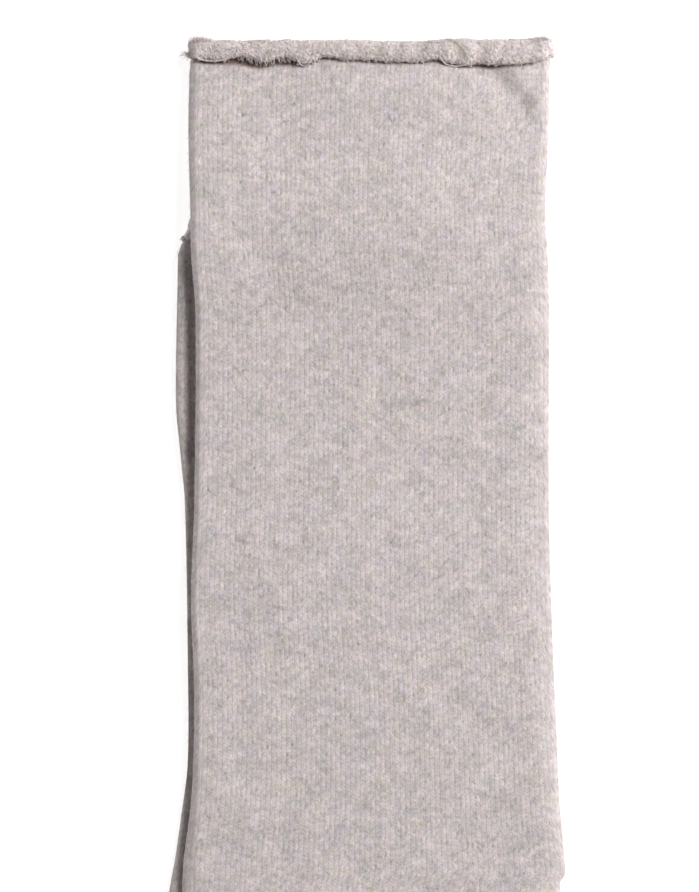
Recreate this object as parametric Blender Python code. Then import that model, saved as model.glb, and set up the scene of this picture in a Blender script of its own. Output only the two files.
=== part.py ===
"""A pair of thermal terry socks, laid flat with one on top of the other.

Each sock is one knitted tube: leg, heel, foot and toe in one wall, and a free
edge that curls outwards into a roll. A sock is lofted through flattened rings:
up its inner skin from the toe, round the roll, and down its outer skin.

Frame: metres, +X to the heels' side, +Y towards the rolled rims, +Z up from the
table, with the origin on the table under the middle of the pair. The sizes
below are millimetres, in the same directions, from the middle of the upper
sock's leg at its rim.
"""

import math
from bisect import bisect_right
from dataclasses import dataclass

import bmesh
import bpy

MM = 0.001

# The knitted cloth
WALL = 2.2  # one layer of terry knit, loops and all
HOLLOW = 0.5  # air between the two layers of a sock laid flat
FLAT = 2 * WALL + HOLLOW  # a sock laid flat
HALF_FLAT = FLAT / 2
CLEARANCE = 0.3  # between the two socks

# The foot, which points to -X and a little away from the rim
FOOT_SLOPE = math.radians(12)
FOOT_WIDTH = 88.0
FOOT_LENGTH = 240.0
HEEL_RADIUS = FOOT_WIDTH / 2
INSTEP_RADIUS = 34.0
TOE_LENGTH = 56.0
HEEL_RIGHT = 55.0  # the heel's furthest point from the leg's middle
LEG_DEPTH = 231.0  # from the rim down to where the instep starts to bend
LEG_LEFT_AT_ANKLE, LEG_RIGHT_AT_ANKLE = -50.5, 51.0

# The ring of points round a flattened sock
FACE_POINTS = 8  # along one face, between its two folded sides
FOLD_STEPS = 6  # round each folded side
LEG_STEP = 8.0
ANKLE_RUNGS = 18
FOOT_RUNGS = 6
TOE_RUNGS = 11

SIDE_ROLL = 0.55  # how much of the roll's stand there is at the folded sides

# How the upper sock comes down to the table beside the lower one
HANG_START = 4.0  # past the lower sock's edge
HANG_RUN = 24.0

LOWER_DOWN = 48.7  # the lower sock's rim, below the upper one's
LOWER_FOOT_LEFT = 4.0  # the lower foot, further left than the upper one

SHARP_OVER = math.radians(60)
KNIT_COLOUR = (0.56, 0.50, 0.49, 1.0)


@dataclass(frozen=True)
class LegRow:
    """The leg's two folded sides at one distance down from the rim."""

    down: float
    left: float
    right: float


@dataclass(frozen=True)
class LiftRow:
    """How high the underside of the cloth is at one distance down from the rim."""

    down: float
    lift: float


@dataclass(frozen=True)
class BeadRow:
    """A point of the rolled rim's section: down the leg, and out from the sock's
    middle plane, as shares of the roll's length and of its stand above the leg.
    A share of out under 0 is of the wall's thickness, below the leg's face."""

    down: float
    out: float


@dataclass(frozen=True)
class Sock:
    """What differs between the two socks."""

    name: str
    rim: float  # y of the rolled rim's edge
    foot_left: float  # how far the foot is moved to the left
    roll_length: float
    roll_proud: float  # how far the roll stands above the leg's face
    leg: tuple  # LegRows
    lift: tuple  # LiftRows


@dataclass(frozen=True)
class Rung:
    """A straight line across the flat sock, from one folded side to the other."""

    left: tuple
    right: tuple
    down: float
    half: float  # half of the sock's thickness here


UPPER = Sock(
    name="upper_sock",
    rim=0.0,
    foot_left=0.0,
    roll_length=6.3,
    roll_proud=2.9,
    leg=(
        LegRow(0.0, -49.0, 47.4),
        LegRow(6.4, -48.6, 47.2),
        LegRow(23.5, -48.8, 47.0),
        LegRow(44.4, -48.0, 46.2),
        LegRow(58.9, -47.8, 47.0),
        LegRow(72.3, -46.8, 47.5),
        LegRow(123.0, -47.1, 47.6),
        LegRow(150.0, -48.0, 48.0),
        LegRow(171.3, -47.2, 48.8),
        LegRow(187.3, -47.2, 49.4),
        LegRow(203.4, -48.0, 50.2),
        LegRow(219.5, -50.1, 51.6),
        LegRow(LEG_DEPTH, LEG_LEFT_AT_ANKLE, LEG_RIGHT_AT_ANKLE),
    ),
    lift=(
        LiftRow(7.0, 2.9),
        LiftRow(20.0, 4.2),
        LiftRow(36.0, 7.0),
        LiftRow(46.0, 8.1),
        LiftRow(57.0, 8.1),
        LiftRow(68.0, 7.0),
        LiftRow(80.0, 5.9),
        LiftRow(94.0, 5.3),
        LiftRow(112.0, FLAT + CLEARANCE),
    ),
)

LOWER = Sock(
    name="lower_sock",
    rim=-LOWER_DOWN,
    foot_left=LOWER_FOOT_LEFT,
    roll_length=6.6,
    roll_proud=1.4,
    leg=(
        LegRow(0.0, -47.6, 43.0),
        LegRow(5.6, -49.2, 43.6),
        LegRow(8.5, -51.6, 44.0),
        LegRow(14.0, -51.8, 44.4),
        LegRow(48.0, -52.3, 45.0),
        LegRow(62.0, -51.1, 45.6),
        LegRow(75.0, -49.9, 46.2),
        LegRow(117.0, -49.1, 46.6),
        LegRow(145.0, -49.1, 46.6),
        LegRow(158.0, -50.7, 46.6),
        LegRow(170.0, -52.4, 46.4),
        LegRow(182.0, -54.3, 46.0),
        LegRow(
            LEG_DEPTH,
            LEG_LEFT_AT_ANKLE - LOWER_FOOT_LEFT,
            LEG_RIGHT_AT_ANKLE - LOWER_FOOT_LEFT,
        ),
    ),
    lift=(
        LiftRow(8.0, 1.4),
        LiftRow(18.0, 0.9),
        LiftRow(30.0, 0.2),
        LiftRow(40.0, 0.0),
    ),
)

# Round the roll, from the crease where it meets the leg's face to the inner skin
BEAD = (
    BeadRow(0.84, 0.03),
    BeadRow(0.95, 0.20),
    BeadRow(1.00, 0.50),
    BeadRow(0.86, 0.86),
    BeadRow(0.60, 1.00),
    BeadRow(0.30, 0.96),
    BeadRow(0.08, 0.62),
    BeadRow(0.00, 0.05),
    BeadRow(0.06, -0.50),
    BeadRow(0.26, -0.86),
)


def smooth(share):
    """A soft step from 0 to 1."""
    share = min(max(share, 0.0), 1.0)
    return share * share * (3 - 2 * share)


def along_table(places, values, at):
    """A table's value at a place between its rows, with no corners."""
    if at <= places[0]:
        return values[0]
    if at >= places[-1]:
        return values[-1]
    k = bisect_right(places, at) - 1
    last = len(places) - 1

    def slope(i):
        low, high = max(i - 1, 0), min(i + 1, last)
        return (values[high] - values[low]) / (places[high] - places[low])

    span = places[k + 1] - places[k]
    t = (at - places[k]) / span
    rise = values[k + 1] - values[k]
    start, end = slope(k) * span, slope(k + 1) * span
    return (
        values[k]
        + start * t
        + (3 * rise - 2 * start - end) * t * t
        + (start + end - 2 * rise) * t**3
    )


def leg_sides(sock, down):
    """x of the leg's two folded sides."""
    places = [row.down for row in sock.leg]
    left = along_table(places, [row.left for row in sock.leg], down)
    right = along_table(places, [row.right for row in sock.leg], down)
    return left, right


def table_lift(sock, down):
    """How high the leg's underside is, from the sock's own table."""
    places = [row.down for row in sock.lift]
    return along_table(places, [row.lift for row in sock.lift], down)


def leg_rungs(sock):
    """Rungs from just below the roll down to the ankle."""
    first = sock.roll_length + 1.0
    count = round((LEG_DEPTH - first) / LEG_STEP)
    rungs = []
    for k in range(count):
        down = first + (LEG_DEPTH - first) * k / count
        left, right = leg_sides(sock, down)
        y = sock.rim - down
        rungs.append(Rung((left, y), (right, y), down, HALF_FLAT))
    return rungs


def foot_axis(sock):
    """The heel's centre, the foot's direction and the way to its sole."""
    ahead = (-math.cos(FOOT_SLOPE), -math.sin(FOOT_SLOPE))
    to_sole = (math.sin(FOOT_SLOPE), -math.cos(FOOT_SLOPE))
    ankle_left = LEG_LEFT_AT_ANKLE - sock.foot_left
    # The instep line leaves the bend's end; the heel's centre is half a foot below it
    bend = math.pi / 2 - FOOT_SLOPE
    instep_x = ankle_left - INSTEP_RADIUS * (1 - math.cos(bend))
    instep_y = sock.rim - LEG_DEPTH - INSTEP_RADIUS * math.sin(bend)
    middle = (
        instep_x + to_sole[0] * FOOT_WIDTH / 2,
        instep_y + to_sole[1] * FOOT_WIDTH / 2,
    )
    heel_x = HEEL_RIGHT - sock.foot_left - HEEL_RADIUS
    back = (heel_x - middle[0]) / -ahead[0]
    heel = (heel_x, middle[1] - ahead[1] * back)
    return heel, ahead, to_sole, back


def heel_side(sock, share):
    """A point of the outline from the ankle's back, round the heel, to the sole."""
    heel, ahead, to_sole, back = foot_axis(sock)
    ankle = (LEG_RIGHT_AT_ANKLE - sock.foot_left, sock.rim - LEG_DEPTH)
    turn = math.pi / 2 - FOOT_SLOPE
    lengths = (ankle[1] - heel[1], HEEL_RADIUS * turn, back)
    walked = share * sum(lengths)
    if walked < lengths[0]:
        t = walked / lengths[0]
        bulge = heel[0] + HEEL_RADIUS - ankle[0]
        return ankle[0] + bulge * math.sin(t * math.pi / 2), ankle[1] - walked
    walked -= lengths[0]
    if walked < lengths[1]:
        angle = -walked / HEEL_RADIUS
        return (
            heel[0] + HEEL_RADIUS * math.cos(angle),
            heel[1] + HEEL_RADIUS * math.sin(angle),
        )
    walked -= lengths[1]
    return tuple(
        heel[i] + to_sole[i] * HEEL_RADIUS + ahead[i] * walked for i in range(2)
    )


def ankle_rungs(sock):
    """Rungs that fan out from the instep's bend to the heel."""
    bend = math.pi / 2 - FOOT_SLOPE
    centre = (
        LEG_LEFT_AT_ANKLE - sock.foot_left - INSTEP_RADIUS,
        sock.rim - LEG_DEPTH,
    )
    rungs = []
    for k in range(ANKLE_RUNGS):
        share = k / ANKLE_RUNGS
        angle = -bend * share
        left = (
            centre[0] + INSTEP_RADIUS * math.cos(angle),
            centre[1] + INSTEP_RADIUS * math.sin(angle),
        )
        right = heel_side(sock, share)
        rungs.append(Rung(left, right, LEG_DEPTH, HALF_FLAT))
    return rungs


def foot_rungs(sock, inset):
    """Rungs across the foot and the rounded toe, which gets thin at its edge."""
    heel, ahead, to_sole, back = foot_axis(sock)
    toe_start = FOOT_LENGTH - HEEL_RADIUS - TOE_LENGTH
    half_width = FOOT_WIDTH / 2
    spans = [
        (back + (toe_start - back) * k / FOOT_RUNGS, half_width, HALF_FLAT)
        for k in range(FOOT_RUNGS)
    ]
    for k in range(TOE_RUNGS):
        angle = math.pi / 2 * k / TOE_RUNGS
        reach = (TOE_LENGTH - inset) * math.sin(angle)
        half = edge_half(TOE_LENGTH - inset - reach, HALF_FLAT)
        width = inset + (half_width - inset) * math.cos(angle)
        spans.append((toe_start + reach, width, half))
    rungs = []
    for along, width, half in spans:
        middle = tuple(heel[i] + ahead[i] * along for i in range(2))
        left = tuple(middle[i] - to_sole[i] * width for i in range(2))
        right = tuple(middle[i] + to_sole[i] * width for i in range(2))
        rungs.append(Rung(left, right, LEG_DEPTH, half))
    return rungs


def edge_half(to_edge, half):
    """Half thickness near a rounded edge that is as round as the cloth is thick."""
    if to_edge >= half:
        return half
    return half * math.sqrt(1 - (1 - to_edge / half) ** 2)


def all_rungs(sock, inset=0.0):
    return leg_rungs(sock) + ankle_rungs(sock) + foot_rungs(sock, inset)


def outline(rungs):
    """The sock's outline on the table, open above its rim."""
    above = 200.0
    left = [rung.left for rung in rungs]
    right = [rung.right for rung in rungs]
    first, last = (left[0][0], above), (right[0][0], above)
    return [first, *left, *reversed(right), last]


def distance_outside(point, corners):
    """How far a point is outside a closed outline; 0 inside it."""
    inside, nearest = False, math.inf
    for (ax, ay), (bx, by) in zip(corners, corners[1:] + corners[:1]):
        if (ay > point[1]) != (by > point[1]):
            crossing = ax + (point[1] - ay) * (bx - ax) / (by - ay)
            inside ^= point[0] < crossing
        along = (bx - ax) ** 2 + (by - ay) ** 2
        t = ((point[0] - ax) * (bx - ax) + (point[1] - ay) * (by - ay)) / along
        t = min(max(t, 0.0), 1.0)
        gap = math.hypot(ax + t * (bx - ax) - point[0], ay + t * (by - ay) - point[1])
        nearest = min(nearest, gap)
    return 0.0 if inside else nearest


def lies_on_table(sock):
    """The height of the lower sock's underside over the table."""

    def lift(point, down):
        return table_lift(sock, down)

    return lift


def hangs_over(sock, corners):
    """The height of the upper sock's underside: on the lower sock, or beside it."""

    def lift(point, down):
        held = table_lift(sock, down)
        if down < LEG_DEPTH:
            return held
        past = distance_outside(point, corners) - HANG_START
        return held * (1 - smooth(past / HANG_RUN))

    return lift


def ring(rung, lift, spread=0.0):
    """The points round one flattened ring: over the face, a fold, back, a fold.

    spread moves the ring's folds outwards.
    """
    dx, dy = (rung.right[i] - rung.left[i] for i in range(2))
    width = math.hypot(dx, dy)
    ex, ey = dx / width, dy / width
    start, end = rung.half - spread, width - rung.half + spread

    def middle(along):
        x, y = rung.left[0] + ex * along, rung.left[1] + ey * along
        return x, y, lift((x, y), rung.down) + HALF_FLAT

    points = []
    for side, fold_at in ((1, end), (-1, start)):
        for k in range(1, FACE_POINTS + 1):
            share = k / (FACE_POINTS + 1)
            along = start + (end - start) * (share if side > 0 else 1 - share)
            x, y, z = middle(along)
            points.append((x, y, z + side * rung.half))
        x, y, z = middle(fold_at)
        for k in range(FOLD_STEPS + 1):
            angle = math.pi * k / FOLD_STEPS
            out = side * rung.half * math.sin(angle)
            up = side * rung.half * math.cos(angle)
            points.append((x + ex * out, y + ey * out, z + up))
    return points


def inner_rung(rung):
    """The same rung between the folds of the sock's inner skin."""
    dx, dy = (rung.right[i] - rung.left[i] for i in range(2))
    width = math.hypot(dx, dy)
    step = (WALL * dx / width, WALL * dy / width)
    left = tuple(rung.left[i] + step[i] for i in range(2))
    right = tuple(rung.right[i] - step[i] for i in range(2))
    return Rung(left, right, rung.down, rung.half * HOLLOW / FLAT)


def bead_rings(sock, lift):
    """Rings round the rolled rim, from the crease on the leg to the inner skin."""
    rings = []
    for row in BEAD:
        down = row.down * sock.roll_length
        left, right = leg_sides(sock, down)
        y = sock.rim - down
        above = row.out >= 0
        stand = row.out * (sock.roll_proud if above else WALL)
        spread = stand * (SIDE_ROLL if above else 1.0)
        rung = Rung((left, y), (right, y), down, HALF_FLAT + stand)
        rings.append(ring(rung, lift, spread))
    return rings


def toe_tip(sock, lift, inset=0.0):
    """The furthest point of the toe, half way up the cloth."""
    heel, ahead, _, _ = foot_axis(sock)
    along = FOOT_LENGTH - HEEL_RADIUS - inset
    x, y = (heel[i] + ahead[i] * along for i in range(2))
    return x, y, lift((x, y), LEG_DEPTH) + HALF_FLAT


def sock_rings(sock, lift):
    """All rings in order: outer skin from the toe, the roll, inner skin to the toe."""
    outer = [ring(rung, lift) for rung in all_rungs(sock)]
    inner = [ring(inner_rung(rung), lift) for rung in all_rungs(sock, WALL)]
    tips = [toe_tip(sock, lift)], [toe_tip(sock, lift, WALL)]
    return [tips[0], *outer[::-1], *bead_rings(sock, lift), *inner, tips[1]]


def loft(rings):
    """A closed mesh through rings of as many points, with one point at each end."""
    mesh = bmesh.new()
    first, *middle, last = [[mesh.verts.new(point) for point in r] for r in rings]
    for one, two in zip(middle, middle[1:]):
        for k in range(len(one)):
            after = (k + 1) % len(one)
            mesh.faces.new((one[k], one[after], two[after], two[k]))
    for tip, loop in ((first[0], middle[0]), (last[0], middle[-1])):
        for k in range(len(loop)):
            mesh.faces.new((loop[k], loop[(k + 1) % len(loop)], tip))
    bmesh.ops.recalc_face_normals(mesh, faces=mesh.faces)
    return mesh


def plan_centre(all_points):
    """The middle of the pair's box on the table."""
    xs = [point[0] for point in all_points]
    ys = [point[1] for point in all_points]
    return (min(xs) + max(xs)) / 2, (min(ys) + max(ys)) / 2


def knit_material():
    material = bpy.data.materials.new("heather_knit")
    material.use_nodes = True
    shader = material.node_tree.nodes["Principled BSDF"]
    shader.inputs["Base Color"].default_value = KNIT_COLOUR
    shader.inputs["Roughness"].default_value = 0.95
    shader.inputs["Metallic"].default_value = 0.0
    return material


def add_sock(name, rings, centre, material, collection):
    """The sock's object, moved so that the origin is under the pair's middle."""
    placed = [
        [((x - centre[0]) * MM, (y - centre[1]) * MM, z * MM) for x, y, z in points]
        for points in rings
    ]
    solid = loft(placed)
    mesh = bpy.data.meshes.new(name)
    solid.to_mesh(mesh)
    solid.free()
    mesh.shade_smooth()
    mesh.set_sharp_from_angle(angle=SHARP_OVER)
    mesh.materials.append(material)
    sock = bpy.data.objects.new(name, mesh)
    collection.objects.link(sock)
    return sock


def main():
    for old in list(bpy.data.objects):
        bpy.data.objects.remove(old, do_unlink=True)
    collection = bpy.data.collections.new("thermal_socks")
    bpy.context.scene.collection.children.link(collection)
    lower_rings = sock_rings(LOWER, lies_on_table(LOWER))
    corners = outline(all_rungs(LOWER))
    upper_rings = sock_rings(UPPER, hangs_over(UPPER, corners))
    points = [p for rings in (lower_rings, upper_rings) for r in rings for p in r]
    centre = plan_centre(points)
    material = knit_material()
    add_sock(UPPER.name, upper_rings, centre, material, collection)
    add_sock(LOWER.name, lower_rings, centre, material, collection)


main()
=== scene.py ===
"""The looks of a pair of thermal terry socks, laid flat with one on top of the other.

Each sock is a closed, double-walled knitted tube on the form of its solid, with its
wales as real ribs, a rolled rim covered in terry loops, and a short nap. The sizes
below are millimetres from the middle of the upper sock's leg at its rim, +X to the
heels' side and +Y towards the rims, and every mesh is moved to the frame as it is made.
"""

import logging
import math
from dataclasses import dataclass, replace
from enum import Enum
from functools import reduce

import bpy
import numpy as np
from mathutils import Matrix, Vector, noise


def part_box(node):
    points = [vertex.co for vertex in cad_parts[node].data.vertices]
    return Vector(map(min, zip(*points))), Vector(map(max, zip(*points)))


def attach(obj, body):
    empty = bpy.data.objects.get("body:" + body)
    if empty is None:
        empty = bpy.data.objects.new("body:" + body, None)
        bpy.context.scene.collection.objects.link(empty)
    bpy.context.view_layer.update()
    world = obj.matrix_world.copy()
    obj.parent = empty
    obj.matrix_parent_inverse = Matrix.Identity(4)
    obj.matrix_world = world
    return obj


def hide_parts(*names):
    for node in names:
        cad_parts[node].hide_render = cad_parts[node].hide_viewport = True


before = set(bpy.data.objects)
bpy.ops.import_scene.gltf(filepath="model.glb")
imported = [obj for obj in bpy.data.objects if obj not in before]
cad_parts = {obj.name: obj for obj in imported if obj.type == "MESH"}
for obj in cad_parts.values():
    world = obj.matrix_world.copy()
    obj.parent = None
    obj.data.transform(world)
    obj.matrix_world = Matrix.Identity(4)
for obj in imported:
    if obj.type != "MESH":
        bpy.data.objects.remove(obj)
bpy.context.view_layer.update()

LOG = logging.getLogger("thermal_socks")
MM = 0.001


class Fibre(Enum):
    """What the yarn of a surface has been made into."""

    JERSEY = "jersey"
    LOOP = "loop"
    SELVEDGE = "selvedge"
    NAP = "nap"


# ---------------------------------------------------------------- sizes


@dataclass(frozen=True)
class Cloth:
    """The terry knit: its thickness and its stitches, in millimetres."""

    wall: float = 2.2
    hollow: float = 0.5  # air between the two layers of a sock laid flat
    clearance: float = 0.3  # between the two socks
    wales: int = 152  # stitch columns round the tube
    course: float = 0.95  # height of one row of stitches
    rib: float = 0.05  # how far a wale stands above and below the cloth's middle

    @property
    def flat(self) -> float:
        """Thickness of a sock laid flat."""
        return 2 * self.wall + self.hollow

    @property
    def half(self) -> float:
        """Half of that thickness."""
        return self.flat / 2

    @property
    def around(self) -> int:
        """Points in one ring: a valley and a crest for each wale."""
        return 2 * self.wales


@dataclass(frozen=True)
class Foot:
    """The foot's plan, which is the same for both socks, in millimetres."""

    slope: float = math.radians(12)
    width: float = 88.0
    length: float = 240.0
    instep_radius: float = 34.0
    toe_length: float = 56.0
    heel_right: float = 55.0
    leg_depth: float = 231.0  # from the rim to where the instep starts to bend
    ankle_left: float = -50.5
    ankle_right: float = 51.0

    @property
    def heel_radius(self) -> float:
        """Radius of the round heel."""
        return self.width / 2

    @property
    def bend(self) -> float:
        """The angle through which the instep turns."""
        return math.pi / 2 - self.slope


CLOTH = Cloth()
FOOT = Foot()


@dataclass(frozen=True)
class LegRow:
    """The leg's two folded sides at one distance down from the rim."""

    down: float
    left: float
    right: float


@dataclass(frozen=True)
class LiftRow:
    """How high the underside of the cloth is at one distance down from the rim."""

    down: float
    lift: float


@dataclass(frozen=True)
class CrownRow:
    """How far in from its folded sides the upper face starts to round down."""

    down: float
    left: float
    right: float


@dataclass(frozen=True)
class EdgeRow:
    """The rolled rim at one place across the leg: its top edge and its lip, down
    from the rim's line, and how wide the gap below the lip is, which is sunk and
    painted dark as shade."""

    across: float
    top: float
    lip: float
    gap: float


@dataclass(frozen=True)
class PileRow:
    """How high the terry loops of the rolled rim stand at one place across, and how
    much further those at its lip reach down."""

    across: float
    height: float
    shag: float


@dataclass(frozen=True)
class Tuft:
    """A tuft of loose fibres on the rolled rim: its place across and its share of
    the way over the roll, where it points, its count, its reach and its length."""

    across: float
    over: float
    towards: tuple[float, float, float]
    count: int
    reach: float
    length: float


@dataclass(frozen=True)
class Strand:
    """A loose yarn that crosses the rolled rim's lip, through its places across
    and down from the rim's line."""

    places: tuple[tuple[float, float], ...]
    yarn: float = 0.23  # radius


@dataclass(frozen=True)
class Dent:
    """A soft trough in the cloth, or a ridge where its rise is above 0, from one
    point to another, in the sock's own millimetres from its rim's middle."""

    start: tuple[float, float]
    end: tuple[float, float]
    reach: float
    rise: float


@dataclass(frozen=True)
class BeadRow:
    """A point of the rolled rim's section: down the leg, and out from the sock's
    middle plane, as shares of the roll's length and of its stand above the leg.
    A share of out under 0 is of the wall's thickness, below the leg's face."""

    down: float
    out: float


# From the inner skin, over the rim and the roll, to the crease under its lip
BEAD = (
    BeadRow(0.26, -0.86),
    BeadRow(0.06, -0.50),
    BeadRow(0.00, 0.05),
    BeadRow(0.08, 0.62),
    BeadRow(0.30, 0.96),
    BeadRow(0.60, 1.00),
    BeadRow(0.86, 0.86),
    BeadRow(0.99, 0.58),
    BeadRow(1.00, 0.34),
    BeadRow(0.92, 0.12),
    BeadRow(0.74, 0.00),
)


# ---------------------------------------------------------------- small sums

TINY = 1e-9
WHITE = (1.0, 1.0, 1.0, 1.0)


def smooth(share: np.ndarray) -> np.ndarray:
    """A soft step from 0 to 1."""
    share = np.clip(share, 0.0, 1.0)
    return share * share * (3 - 2 * share)


def unit(vectors: np.ndarray) -> np.ndarray:
    """The same directions, each with a length of 1."""
    return vectors / np.maximum(np.linalg.norm(vectors, axis=-1, keepdims=True), TINY)


def turned(angle: np.ndarray) -> np.ndarray:
    """x and y of a step of 1 at each angle."""
    return np.stack([np.cos(angle), np.sin(angle)], -1)


def along_table(rows: tuple, place: str, column: str, at: np.ndarray) -> np.ndarray:
    """Reads a column of a table at places between its rows, with no corners.

    Args:
        rows: The table, in order of place.
        place: The name of the field that says where a row is.
        column: The name of the field to read.
        at: The places.

    Returns:
        The column's value at each place, and at the table's ends its end values.
    """
    places = np.array([getattr(row, place) for row in rows])
    values = np.array([getattr(row, column) for row in rows])
    last = len(rows) - 1
    before = np.maximum(np.arange(last + 1) - 1, 0)
    after = np.minimum(np.arange(last + 1) + 1, last)
    slopes = (values[after] - values[before]) / (places[after] - places[before])
    at = np.asarray(at, float)
    k = np.clip(np.searchsorted(places, at, side="right") - 1, 0, last - 1)
    span = places[k + 1] - places[k]
    t = np.clip((at - places[k]) / span, 0.0, 1.0)
    rise = values[k + 1] - values[k]
    start, end = slopes[k] * span, slopes[k + 1] * span
    curve = (3 * rise - 2 * start - end) * t * t + (start + end - 2 * rise) * t**3
    return values[k] + start * t + curve


def distance_outside(points: np.ndarray, corners: np.ndarray) -> np.ndarray:
    """Measures how far points are outside a closed outline.

    Args:
        points: The points, one x and y a row.
        corners: The outline's corners in order.

    Returns:
        The distance of each point, and 0 inside the outline.
    """
    inside = np.zeros(len(points), bool)
    nearest = np.full(len(points), np.inf)
    x, y = points[:, 0], points[:, 1]
    for (ax, ay), (bx, by) in zip(corners, np.roll(corners, -1, axis=0)):
        if ay != by:
            crossing = ax + (y - ay) * (bx - ax) / (by - ay)
            inside ^= ((ay > y) != (by > y)) & (x < crossing)
        along = (bx - ax) ** 2 + (by - ay) ** 2
        t = np.clip(((x - ax) * (bx - ax) + (y - ay) * (by - ay)) / along, 0.0, 1.0)
        away = np.hypot(ax + t * (bx - ax) - x, ay + t * (by - ay) - y)
        nearest = np.minimum(nearest, away)
    return np.where(inside, 0.0, nearest)


def grid_normals(points: np.ndarray) -> np.ndarray:
    """Works out the outward normals of rings of points.

    Args:
        points: Rows of rings, each from the left fold over the upper face.

    Returns:
        One unit vector for each point.
    """
    round_ring = np.roll(points, -1, axis=1) - np.roll(points, 1, axis=1)
    return unit(np.cross(np.gradient(points, axis=0), round_ring))


def ring_quads(rings: int, around: int, closed: bool = False) -> np.ndarray:
    """Lists the faces between rings of points that follow each other.

    Args:
        rings: How many rings there are.
        around: The points in each.
        closed: Whether the last ring meets the first.

    Returns:
        Four point numbers for each face, first from one ring to the next.
    """
    k = np.arange(around)
    after = (k + 1) % around
    ring = np.arange(rings if closed else rings - 1)[:, None]
    here, ahead = around * ring, around * ((ring + 1) % rings)
    return np.stack([here + k, ahead + k, ahead + after, here + after], 2).reshape(-1, 4)


# ---------------------------------------------------------------- the form


@dataclass(frozen=True)
class Rungs:
    """Straight lines across a flat sock, one for each row of points: their two ends,
    how far below the rim they are, and half of the sock's thickness there."""

    left: np.ndarray
    right: np.ndarray
    down: np.ndarray
    half: np.ndarray

    def parts(self) -> tuple:
        """The four arrays in order."""
        return self.left, self.right, self.down, self.half

    def joined(self, other: "Rungs") -> "Rungs":
        """These rungs and then the others."""
        return Rungs(*(np.concatenate(pair) for pair in zip(self.parts(), other.parts())))

    def every(self, step: int) -> "Rungs":
        """Each rung that is a whole number of steps from the last one."""
        return Rungs(*(part[::-1][::step][::-1] for part in self.parts()))


def level_rungs(
    left: np.ndarray,
    right: np.ndarray,
    down: np.ndarray | float = FOOT.leg_depth,
    half: np.ndarray | float = CLOTH.half,
) -> Rungs:
    """Makes rungs whose depth or thickness may be the same for all.

    Args:
        left: x and y of each rung's left end.
        right: x and y of its right end.
        down: How far below the rim it is.
        half: Half of the sock's thickness there.

    Returns:
        The rungs.
    """
    level = np.zeros(len(left))
    return Rungs(left, right, level + down, level + half)


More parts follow.
